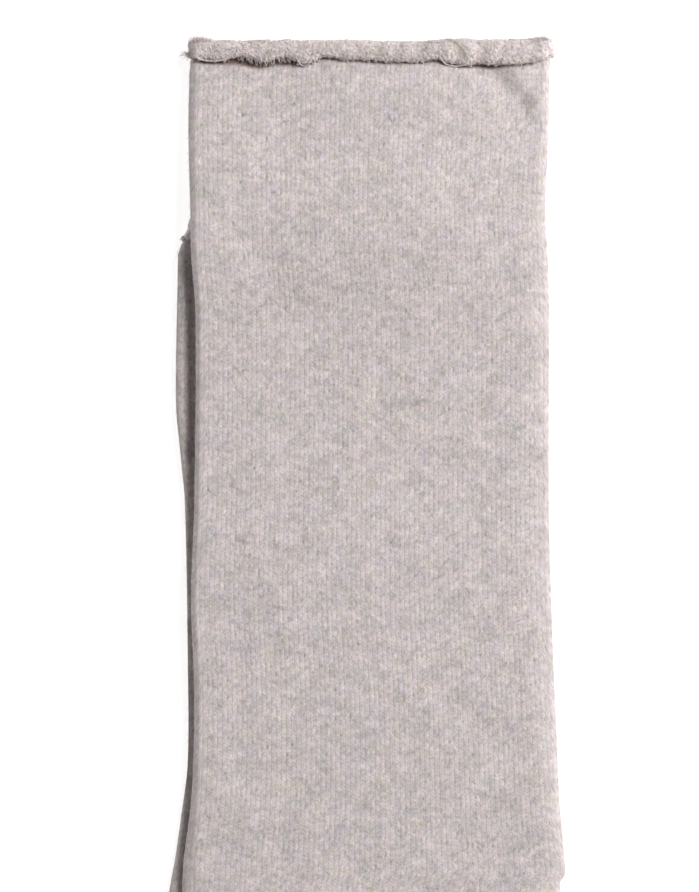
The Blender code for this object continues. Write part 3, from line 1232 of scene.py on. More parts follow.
@dataclass
class LooseFibres:
    """Sets short loose fibres on a sock's face, or on its rolled rim and its tufts.
    Fibres pass between its methods as their points, each with its side direction
    in a last row."""

    wall: SockWall
    seed: int
    places: tuple = (-0.08, 0.5, 1.0)  # along a fibre, of its points
    sides: int = 3
    upper_share: float = 0.7  # of the fibres, on the upper face
    fold_points: int = 5  # of a ring, on each side of a fold
    curl: float = 0.22
    sag: float = 0.35  # of its rise, at a fibre's end
    nap_skips: int = 2  # rows below the roll without nap
    fuzz_rows: tuple = (2, 18)  # of the bead's
    tuft_thick: float = 0.045
    tuft_spread: tuple = (0.5, 0.6, 0.3)  # for each of its reach, then along it and up
    tuft_lengths: tuple = (0.45, 1.1)
    tuft_uneven: float = 0.35  # of its fibres' directions, and of their rise

    def __post_init__(self) -> None:
        """Starts the fibres' own chance."""
        self.chance = np.random.default_rng(self.seed)

    def scattered(self, form: FibreForm, first: int, last: int) -> np.ndarray:
        """Grows fibres all over some rows of the wall.

        Args:
            form: The fibres' form.
            first: The first row of the wall.
            last: The row after the last one.

        Returns:
            The fibres.
        """
        chance, count, half = self.chance, form.count, CLOTH.around // 2
        rows = self.wall.shell.points[first:last]
        row = chance.integers(1, len(rows) - 1, count)
        beneath = chance.uniform(0, 1, count) > self.upper_share
        k = chance.integers(0, half, count) + beneath * half
        fold = chance.integers(0, 2, count) * half
        fold = fold + chance.integers(-self.fold_points, self.fold_points, count)
        at_fold = chance.uniform(0, 1, count) < form.at_folds
        k = np.where(at_fold, fold, k) % CLOTH.around
        root, outward = rows[row, k], grid_normals(rows)[row, k]
        way = rows[row, (k + 1) % CLOTH.around] - root
        root = root + way * chance.uniform(0, 1, count)[:, None]
        way = unit(way)
        turn = chance.uniform(0, 2 * math.pi, count)[:, None]
        flat = way * np.cos(turn) + np.cross(outward, way) * np.sin(turn)
        length = chance.uniform(*form.lengths, count)[:, None]
        rise = chance.uniform(*form.rises, count)[:, None]
        length = length / np.sqrt(1 + rise**2)
        return self.curled(root, flat * length, outward * rise * length)

    def curled(self, root: np.ndarray, along: np.ndarray, up: np.ndarray) -> np.ndarray:
        """Bends fibres sideways a little.

        Args:
            root: Where each fibre starts.
            along: Which way and how far it lies along the cloth.
            up: Which way and how far it stands up.

        Returns:
            The fibres.
        """
        side = unit(np.cross(up, along))
        curl = self.chance.normal(0, self.curl, len(root))[:, None]
        curl = curl * np.linalg.norm(along, axis=1, keepdims=True)
        lines = [
            root + along * s + up * s * (1 - self.sag * s) + side * curl * s * s
            for s in self.places
        ]
        return np.stack([*lines, side], 1)

    def tuft(self, tuft: Tuft) -> np.ndarray:
        """Grows one tuft on the rolled rim.

        Args:
            tuft: The tuft.

        Returns:
            The fibres.
        """
        chance, bead = self.chance, self.wall.shell.bead()
        upper = bead[int(tuft.over * (len(bead) - 1)), : CLOTH.around // 2]
        middle = upper[np.argmin(np.abs(upper[:, 0] - tuft.across))]
        share, along, up = self.tuft_spread
        spread = chance.normal(0, share, (tuft.count, 3)) * (tuft.reach, along, up)
        heads = unit(np.array(tuft.towards))
        heads = heads + chance.normal(0, self.tuft_uneven, (tuft.count, 3))
        length = tuft.length * chance.uniform(*self.tuft_lengths, tuft.count)[:, None]
        rise = self.tuft_uneven * length * chance.uniform(-1, 1, (tuft.count, 1))
        return self.curled(middle + spread, heads * length, rise * (0.0, 0.0, 1.0))

    def build_nap(self, form: FibreForm) -> bpy.types.Object:
        """Makes the nap of the plain face.

        Args:
            form: The fibres' form.

        Returns:
            The new object.
        """
        shell = self.wall.shell
        grown = self.scattered(form, shell.first_leg + self.nap_skips, len(shell.points))
        return self.hairs("nap", grown, np.full(len(grown), form.thick))

    def build_fuzz(self, form: FibreForm) -> bpy.types.Object:
        """Makes the fuzz and the tufts of the rolled rim.

        Args:
            form: The fuzz's form.

        Returns:
            The new object.
        """
        rows = (self.wall.shell.first_bead + row for row in self.fuzz_rows)
        fuzz = self.scattered(form, *rows)
        tufts = [self.tuft(tuft) for tuft in self.wall.sock.tufts]
        grown = np.concatenate([fuzz, *tufts])
        thick = np.where(np.arange(len(grown)) < len(fuzz), form.thick, self.tuft_thick)
        return self.hairs("rim_fuzz", grown, thick)

    def hairs(self, name: str, grown: np.ndarray, thick: np.ndarray) -> bpy.types.Object:
        """Makes fibres as one object of thin closed hairs.

        Args:
            name: What the fibres are.
            grown: The fibres.
            thick: Each one's radius.

        Returns:
            The new object, with a tone for each fibre.
        """
        steps = len(self.places)
        points = tube_points(grown[:, :-1], grown[:, -1], thick[:, None, None], self.sides)
        faces = tube_faces(len(grown), steps, self.sides)
        tones = np.repeat(self.chance.uniform(0, 1, len(grown)), self.sides * steps)
        return self.wall.piece(name, points, faces, tone=tones)


@dataclass(frozen=True)
class ChainForm:
    """A chain of stitches along one row of the wall's points, in millimetres."""

    wales: int  # how many it crosses, from the left fold over the upper face
    yarn: float = 0.19  # radius
    sway: float = 0.22
    stand: float = 0.08  # above the row's points
    steps: int = 4  # points for each wale
    sides: int = 5
    drifts: int = 64  # places where its uneven sway and stand are drawn
    drift: float = 0.7  # of its sway
    sunk: float = 0.25
    bob: float = 0.5  # of its yarn, up and down in each stitch
    bob_after: float = 0.8  # by this angle, after its sway


LIP_CHAIN = ChainForm(CLOTH.wales)
SUNK_CHAIN = ChainForm(CLOTH.wales, sway=0.1, stand=-0.2)
TOE_CHAIN = ChainForm(CLOTH.wales // 2, yarn=0.17, sway=0.26, stand=0.06)


@dataclass
class Chains:
    """Runs the chain of edge stitches along the rim's lip, the loose yarns over it,
    and the chain that closes the toe."""

    wall: SockWall
    seed: int
    lip: ChainForm
    lip_row: int = 15  # of the bead's rows
    toe_row: int = -11  # from the wall's last row
    leg_rows: int = 30  # rows below the roll that a loose yarn may lie on
    yarn_steps: int = 10  # points of a loose yarn for each of its places
    soften: tuple = (0.25, 0.5, 0.25)
    soft_bends: int = 8  # times that its bends are softened
    soft_falls: int = 10  # and the ways down from what it lies on
    lies_on: float = 0.75  # how near to it that is
    pressed: float = 0.1  # of its yarn, its height above that
    tones: int = 400

    def __post_init__(self) -> None:
        """Starts the chains' own chance."""
        self.chance = np.random.default_rng(self.seed)

    def chain(self, form: ChainForm, row: int) -> tuple[np.ndarray, np.ndarray]:
        """Lays a chain along one row of the wall.

        Args:
            form: The chain's form.
            row: The row.

        Returns:
            The yarn's points, in order from the left fold, and its side directions.
        """
        ring = self.wall.shell.points[row]
        outward = grid_normals(self.wall.shell.points[row - 1 : row + 2])[1]
        step = np.arange(form.wales * form.steps)
        at = step * 2 / form.steps
        k, part = at.astype(int), (at % 1)[:, None]
        after = (k + 1) % CLOTH.around
        line = ring[k] * (1 - part) + ring[after] * part
        up = unit(outward[k] * (1 - part) + outward[after] * part)
        side = np.cross(up, unit(ring[after] - ring[k]))
        wave = 2 * math.pi * step / form.steps
        places = np.linspace(0, len(step), form.drifts)
        drift, sunk = (
            np.interp(step, places, self.chance.uniform(-1, 1, form.drifts)) for _ in range(2)
        )
        sway = form.sway * (np.sin(wave) + form.drift * drift)
        bob = form.bob * form.yarn * np.cos(wave + form.bob_after)
        lifted = form.stand + form.sunk * sunk + bob
        return line + side * sway[:, None] + up * lifted[:, None], up

    def over_lip(self, strand: Strand) -> tuple[np.ndarray, np.ndarray]:
        """Lays a loose yarn over the lip and on the leg below it.

        Args:
            strand: The yarn.

        Returns:
            The yarn's points and its side directions.
        """
        shell = self.wall.shell
        rows = shell.points[shell.first_bead : shell.first_leg + self.leg_rows]
        top = rows[:, : CLOTH.around // 2].reshape(-1, 3)
        knots = np.arange(len(strand.places))
        fine = np.linspace(0, knots[-1], self.yarn_steps * knots[-1] + 1)
        across, down = (np.interp(fine, knots, column) for column in zip(*strand.places))
        for _ in range(self.soft_bends):
            across[1:-1] = np.convolve(across, self.soften, "valid")
            down[1:-1] = np.convolve(down, self.soften, "valid")
        y = self.wall.sock.rim - down
        away = np.hypot(top[:, 0] - across[:, None], top[:, 1] - y[:, None])
        heights = np.where(away < self.lies_on, top[:, 2], -np.inf).max(axis=1)
        for _ in range(self.soft_falls):
            softer = np.convolve(heights, self.soften, "valid")
            heights[1:-1] = np.maximum(heights[1:-1], softer)
        line = np.column_stack([across, y, heights + self.pressed * strand.yarn])
        return line, np.repeat([[0.0, 0.0, 1.0]], len(line), axis=0)

    def build(self) -> bpy.types.Object:
        """Makes the chains and the loose yarns as one object.

        Returns:
            The new object, with a tone for each point.
        """
        shell, sides = self.wall.shell, self.lip.sides
        ring = self.chain(self.lip, shell.first_bead + self.lip_row)
        ring, up = (np.concatenate([part, part[:1]])[None] for part in ring)
        closed = tube_points(ring, up, self.lip.yarn, sides)
        points = [closed[0, :-1].reshape(-1, 3)]
        faces = ring_quads(ring.shape[1] - 1, sides, closed=True)[:, ROUND_FIRST].tolist()
        open_yarns = [(strand.yarn, *self.over_lip(strand)) for strand in self.wall.sock.strands]
        toe = self.chain(TOE_CHAIN, len(shell.points) + self.toe_row)
        open_yarns.append((TOE_CHAIN.yarn, *toe))
        for yarn, line, side in open_yarns:
            first = sum(len(part) for part in points)
            points.append(tube_points(line[None], side[None], yarn, sides)[0].reshape(-1, 3))
            faces += [[first + k for k in face] for face in tube_faces(1, len(line), sides)]
        points = np.concatenate(points)
        places = np.linspace(0, len(points), self.tones)
        tones = self.chance.uniform(0, 1, self.tones)
        tones = np.interp(np.arange(len(points)), places, tones)
        return self.wall.piece("chains", points, faces, tone=tones)


# ---------------------------------------------------------------- finishes


class Graph:
    """Adds nodes to one node tree and links them."""

    def __init__(self, tree: bpy.types.NodeTree) -> None:
        """Keeps the tree."""
        self.tree = tree

    def feed(self, node: bpy.types.Node, feeds: dict) -> None:
        """Fills inputs of a node.

        Args:
            node: The node.
            feeds: What each input gets, by the input's name or number: a value, or
                another node's output.
        """
        for name, value in feeds.items():
            if isinstance(value, bpy.types.NodeSocket):
                self.tree.links.new(value, node.inputs[name])
            else:
                node.inputs[name].default_value = value

    def add(self, kind: str, feeds: dict | None = None, **settings: object) -> bpy.types.Node:
        """Adds a node.

        Args:
            kind: The node's type.
            feeds: What its inputs get.
            settings: The node's own settings.

        Returns:
            The new node.
        """
        node = self.tree.nodes.new(kind)
        for name, value in settings.items():
            setattr(node, name, value)
        self.feed(node, feeds or {})
        return node

    def math(self, operation: str, *terms: object) -> bpy.types.NodeSocket:
        """The result of an operation on one or two numbers."""
        return self.add("ShaderNodeMath", dict(enumerate(terms)), operation=operation).outputs[0]

    def total(self, *terms: object) -> bpy.types.NodeSocket:
        """The terms added up in their order."""
        return reduce(lambda one, two: self.math("ADD", one, two), terms)

    def vector(self, operation: str, *terms: object) -> bpy.types.NodeSocket:
        """The result of an operation on two vectors."""
        feeds = dict(enumerate(terms))
        return self.add("ShaderNodeVectorMath", feeds, operation=operation).outputs[0]

    def scaled(self, vector: object, size: object) -> bpy.types.NodeSocket:
        """A vector times a number."""
        feeds = {0: vector, "Scale": size}
        return self.add("ShaderNodeVectorMath", feeds, operation="SCALE").outputs[0]

    def mix(self, share: object, one: object, two: object) -> bpy.types.NodeSocket:
        """One colour, and the other by the share of it."""
        feeds = {0: share, 6: one, 7: two}
        return self.add("ShaderNodeMix", feeds, data_type="RGBA").outputs[2]

    def noise(self, place: object, scale: float, detail: float) -> bpy.types.Node:
        """A noise node at a place."""
        feeds = {"Vector": place, "Scale": scale, "Detail": detail, "Roughness": 0.55}
        return self.add("ShaderNodeTexNoise", feeds)

    def ramp(self, value: object, low: float, high: float) -> bpy.types.NodeSocket:
        """A value brought from one range to 0 to 1, with soft ends."""
        feeds = {0: value, 1: low, 2: high}
        return self.add("ShaderNodeMapRange", feeds, interpolation_type="SMOOTHSTEP").outputs[0]

    def point_value(self, name: str) -> bpy.types.NodeSocket:
        """A number that the mesh's points hold."""
        return self.add("ShaderNodeAttribute", attribute_name=name).outputs["Fac"]

    def place(self) -> bpy.types.NodeSocket:
        """The place on the object, in metres."""
        return self.add("ShaderNodeTexCoord").outputs["Object"]


@dataclass(frozen=True)
class Port:
    """An input or output of a node group."""

    name: str
    kind: str
    into: bool = True


FLOAT, VECTOR, COLOUR = "NodeSocketFloat", "NodeSocketVector", "NodeSocketColor"
YARN_VALUES = ("Streaks", "Specks", "Clouds", "Tint", "Flecks")


def new_group(name: str, ports: tuple) -> tuple[Graph, bpy.types.Node, bpy.types.Node]:
    """Starts a shader node group.

    Args:
        name: The group's name.
        ports: Its inputs and outputs.

    Returns:
        The group's graph, its input node and its output node.
    """
    tree = bpy.data.node_groups.new(name, "ShaderNodeTree")
    for port in ports:
        side = "INPUT" if port.into else "OUTPUT"
        tree.interface.new_socket(name=port.name, in_out=side, socket_type=port.kind)
    graph = Graph(tree)
    return graph, graph.add("NodeGroupInput"), graph.add("NodeGroupOutput")


@dataclass(frozen=True)
class HeatherYarn:
    """Where the yarn's fibres change their tone. The triples are changes for each
    wale and each course, and the other scales are changes for each metre."""

    streak_lane: float = 3.71  # between the streaks of neighbouring legs of stitches
    streak_run: float = 0.62  # for each course
    specks: tuple = (2.0, 1.15, 1.0)
    crumbs: tuple = (4.6, 3.4, 1.0)
    crumb_share: float = 0.12
    flecks: tuple = (2.0, 0.62, 1.0)
    fleck_range: tuple = (0.66, 0.80)  # of their noise
    blotches: float = 640.0
    near_clouds: float = 340.0
    far_clouds: float = 120.0
    far_share: float = 0.8  # of the clouds' strength
    tint: tuple = (0.85, 0.8, 1.6)  # how far red, green and blue stray

    def deviation(self, graph: Graph, value: object, strength: object) -> bpy.types.NodeSocket:
        """How far a noise is from its middle, times a strength."""
        return graph.math("MULTIPLY", graph.math("SUBTRACT", value, 0.5), strength)

    def group(self) -> bpy.types.NodeTree:
        """Mixes dyed and undyed fibres, as a heather yarn shows them.

        Returns:
            A group that gives the yarn's colour at a stitch and a place.
        """
        given_ports = (Port("Ground", COLOUR), Port("Stitch", VECTOR), Port("Place", VECTOR))
        values = (Port(name, FLOAT) for name in YARN_VALUES)
        ports = (*given_ports, *values, Port("Color", COLOUR, into=False))
        graph, given, result = new_group("heather_yarn", ports)
        ground, stitch, place, streaks, specks, clouds, tint, flecks, *_ = given.outputs
        split = graph.add("ShaderNodeSeparateXYZ", {0: stitch}).outputs
        leg = graph.math("FLOOR", graph.math("MULTIPLY", split[0], 2.0))
        lane = graph.math("MULTIPLY", leg, self.streak_lane)
        run = graph.math("MULTIPLY", split[1], self.streak_run)
        lane = graph.add("ShaderNodeCombineXYZ", {0: lane, 1: run}).outputs[0]
        streak = graph.noise(lane, 1.0, 2.0).outputs[0]
        speck, crumb, fleck = (
            graph.noise(graph.vector("MULTIPLY", stitch, scale), 1.0, detail).outputs[0]
            for scale, detail in ((self.specks, 1.0), (self.crumbs, 1.0), (self.flecks, 0.0))
        )
        near = graph.noise(place, self.near_clouds, 1.0)
        far = graph.noise(place, self.far_clouds, 2.0).outputs[0]
        blotch = graph.noise(place, self.blotches, 1.0).outputs[0]
        tone = graph.total(
            1.0,
            self.deviation(graph, streak, streaks),
            self.deviation(graph, speck, specks),
            self.deviation(graph, crumb, self.crumb_share),
            self.deviation(graph, blotch, clouds),
        )
        fleck = graph.math("MULTIPLY", graph.ramp(fleck, *self.fleck_range), flecks)
        tone = graph.total(
            graph.math("SUBTRACT", tone, fleck),
            self.deviation(graph, near.outputs[0], clouds),
            self.deviation(graph, far, graph.math("MULTIPLY", clouds, self.far_share)),
        )
        stray = graph.vector("SUBTRACT", near.outputs[1], (0.5, 0.5, 0.5))
        stray = graph.scaled(graph.vector("MULTIPLY", stray, self.tint), tint)
        tinted = graph.vector("ADD", stray, (1.0, 1.0, 1.0))
        shade = graph.scaled(graph.vector("MULTIPLY", ground, tinted), tone)
        graph.feed(result, {"Color": shade})
        return graph.tree


@dataclass(frozen=True)
class PlainStitches:
    """The relief of plain knit, for each unit of its height: how it falls away from
    the middles of a wale and of its two legs, and how each stitch swells; and the
    painted shade of the valleys between the wales."""

    wander_scale: float = 0.6
    wander: float = 0.35  # of a stitch
    leg_middle: float = 0.25  # of a wale, from its own middle
    leg_fall: float = -1.1
    wale_fall: float = -4.0
    slant: float = -1.0  # of the legs, in courses for each wale
    swell: float = 0.38
    valley_shade: tuple = (0.24, 0.5)  # of a wale, from its middle, over which the valleys' painted shade comes in
    valley_shade_strength: float = 0.6
    drawn_in: float = 0.4  # how much a stitch's swell fills the valleys and lessens their painted shade

    def group(self) -> bpy.types.NodeTree:
        """Shapes the V stitches of plain knit.

        Returns:
            A group that gives the relief's height and the valleys' painted shade.
        """
        outputs = (Port(name, FLOAT, into=False) for name in ("Height", "ValleyShade"))
        graph, given, result = new_group("plain_stitches", (Port("Stitch", VECTOR), *outputs))
        stitch = given.outputs["Stitch"]
        bend = graph.noise(stitch, self.wander_scale, 2.0).outputs[1]
        bend = graph.scaled(graph.vector("SUBTRACT", bend, (0.5, 0.5, 0.5)), self.wander)
        place = graph.vector("ADD", stitch, bend)
        split = graph.add("ShaderNodeSeparateXYZ", {0: place}).outputs
        across = graph.math("SUBTRACT", graph.math("FRACT", split[0]), 0.5)
        from_middle = graph.math("ABSOLUTE", across)
        from_leg = graph.math("SUBTRACT", from_middle, self.leg_middle)
        round_leg = graph.math("MULTIPLY", graph.math("ABSOLUTE", from_leg), self.leg_fall)
        square = graph.math("MULTIPLY", from_middle, from_middle)
        wide = graph.math("MULTIPLY", square, self.wale_fall)
        slant = graph.math("MULTIPLY", from_middle, self.slant)
        phase = graph.math("MULTIPLY", graph.math("ADD", split[1], slant), 2 * math.pi)
        crest = graph.math("COSINE", phase)
        height = graph.total(wide, round_leg, graph.math("MULTIPLY", crest, self.swell))
        filled = graph.math("MULTIPLY", crest, self.drawn_in)
        depth = graph.math("SUBTRACT", self.valley_shade_strength, filled)
        # the valleys' painted shade, less where a stitch swells into them
        valley_shade = graph.math("MULTIPLY", graph.ramp(from_middle, *self.valley_shade), depth)
        graph.feed(result, {"Height": height, "ValleyShade": valley_shade})
        return graph.tree


@dataclass(frozen=True)
class Heather:
    """A finish of heather yarn: its colours, in linear light, its unevenness, and the
    painted shade of its valleys and of the gap under the rolled rim.
    """

    name: str
    fibre: Fibre
    ground: tuple = (0.535, 0.480, 0.474, 1.0)
    # painted shade: the colour of the gap under the rolled rim's lip
    painted_gap_shade: tuple = (0.175, 0.115, 0.097, 1.0)
    pale: tuple = (0.84, 0.79, 0.77, 1.0)
    # the valleys' painted shade, and the dark tone of some loops and fibres
    dark: tuple = (0.36, 0.30, 0.285, 1.0)
    streaks: float = 0.75
    specks: float = 0.55
    clouds: float = 0.40
    tint: float = 0.14
    flecks: float = 0.22
    relief: float = 0.037  # of the stitches, in millimetres
    valley_shade: float = 0.72  # how much of the dark colour the valleys take as painted shade
    broken: tuple = (0.35, 0.65)  # of the noise that breaks the valleys
    broken_scale: float = 0.7  # of its changes, for each wale and course
    terry_scale: float = 1400.0  # of the curls inside, for each metre
    terry_relief: float = 4.0  # for each unit of the stitches' relief
    strand_scale: float = 780.0  # stitches that a metre of strand counts as
    pale_tones: tuple = (0.45, 1.0)
    pale_share: float = 0.25
    dark_tones: tuple = (0.2, 0.0)
    dark_share: float = 0.35
    gap_shade_share: float = 0.75  # how much of the gap's painted shade strands take there
    roughness: float = 0.95
    specular: float = 0.15
    sheen: float = 0.25
    sheen_roughness: float = 0.55
    sheen_tint: tuple = (1.0, 0.95, 0.93, 1.0)
    scatter: float = 0.0
    scatter_reach: float = 0.9  # in millimetres
    scatter_colours: tuple = (1.0, 0.9, 0.85)

    def material(self, yarn: bpy.types.NodeTree, stitches: bpy.types.NodeTree) -> bpy.types.Material:
        """Builds the material.

        Args:
            yarn: The group that mixes the yarn's fibres.
            stitches: The group that shapes the plain stitches.

        Returns:
            The new material.
        """
        made = bpy.data.materials.new(self.name)
        made.use_nodes = True
        graph = Graph(made.node_tree)
        feeds = {
            "Roughness": self.roughness,
            "Specular IOR Level": self.specular,
            "Sheen Weight": self.sheen,
            "Sheen Roughness": self.sheen_roughness,
            "Sheen Tint": self.sheen_tint,
            "Subsurface Weight": self.scatter,
            "Subsurface Radius": self.scatter_colours,
            "Subsurface Scale": self.scatter_reach * MM,
        }
        if self.fibre is Fibre.JERSEY:
            feeds.update(self.jersey(graph, yarn, stitches))
        else:
            feeds.update(self.strand(graph, yarn))
        graph.feed(made.node_tree.nodes["Principled BSDF"], feeds)
        return made

    def mixed(self, graph: Graph, yarn: bpy.types.NodeTree, stitch: object) -> bpy.types.NodeSocket:
        """Mixes the yarn's colour with this finish's values.

        Args:
            graph: The material's graph.
            yarn: The group that mixes the yarn's fibres.
            stitch: The place among the stitches.

        Returns:
            The colour.
        """
        feeds = {name: getattr(self, name.lower()) for name in YARN_VALUES}
        feeds.update(Ground=self.ground, Stitch=stitch, Place=graph.place())
        return graph.add("ShaderNodeGroup", node_tree=yarn, feeds=feeds).outputs["Color"]

    def jersey(
        self, graph: Graph, yarn: bpy.types.NodeTree, stitches: bpy.types.NodeTree
    ) -> dict[str, bpy.types.NodeSocket]:
        """Colours and shapes the wall: plain stitches outside, terry inside, with painted
        shade in the valleys and in the gap under the roll's lip.

        Args:
            graph: The material's graph.
            yarn: The group that mixes the yarn's fibres.
            stitches: The group that shapes the plain stitches.

        Returns:
            The base colour and the normal, by the name of the shader's input.
        """
        stitch = graph.add("ShaderNodeUVMap", uv_map="stitches").outputs[0]
        relief = graph.add("ShaderNodeGroup", {"Stitch": stitch}, node_tree=stitches).outputs
        terry = graph.point_value("terry")
        plain = graph.math("SUBTRACT", 1.0, terry)
        # painted shade: the valleys between the wales take the dark colour
        valley_shade = graph.math("MULTIPLY", relief["ValleyShade"], plain)
        valley_shade = graph.math("MULTIPLY", valley_shade, self.valley_shade)
        broken = graph.noise(stitch, self.broken_scale, 2.0).outputs[0]
        valley_shade = graph.math("MULTIPLY", valley_shade, graph.ramp(broken, *self.broken))
        shaded = graph.mix(valley_shade, self.mixed(graph, yarn, stitch), self.dark)
        # painted shade of the gap under the roll's lip, by the points' gap value
        colour = graph.mix(graph.point_value("gap"), shaded, self.painted_gap_shade)
        curls = graph.noise(graph.place(), self.terry_scale, 3.0).outputs[0]
        curls = graph.math("MULTIPLY", curls, self.terry_relief)
        rough = graph.math("MULTIPLY", curls, terry)
        height = graph.math("ADD", rough, graph.math("MULTIPLY", relief["Height"], plain))
        feeds = {"Strength": 1.0, "Distance": self.relief * MM, "Height": height}
        return {"Base Color": colour, "Normal": graph.add("ShaderNodeBump", feeds).outputs[0]}

    def strand(self, graph: Graph, yarn: bpy.types.NodeTree) -> dict[str, bpy.types.NodeSocket]:
        """Colours loops or loose fibres, each with its own tone, and with painted shade in
        the gap under the roll's lip.

        Args:
            graph: The material's graph.
            yarn: The group that mixes the yarn's fibres.

        Returns:
            The base colour, by the name of the shader's input.
        """
        stitch = graph.vector("MULTIPLY", graph.place(), (self.strand_scale,) * 3)
        mixed = self.mixed(graph, yarn, stitch)
        tone = graph.point_value("tone")
        lighter = graph.math("MULTIPLY", graph.ramp(tone, *self.pale_tones), self.pale_share)
        darker = graph.math("MULTIPLY", graph.ramp(tone, *self.dark_tones), self.dark_share)
        toned = graph.mix(darker, graph.mix(lighter, mixed, self.pale), self.dark)
        # the gap's painted shade, which strands take only in part
        gap = graph.math("MULTIPLY", graph.point_value("gap"), self.gap_shade_share)
        return {"Base Color": graph.mix(gap, toned, self.painted_gap_shade)}


# ---------------------------------------------------------------- the socks


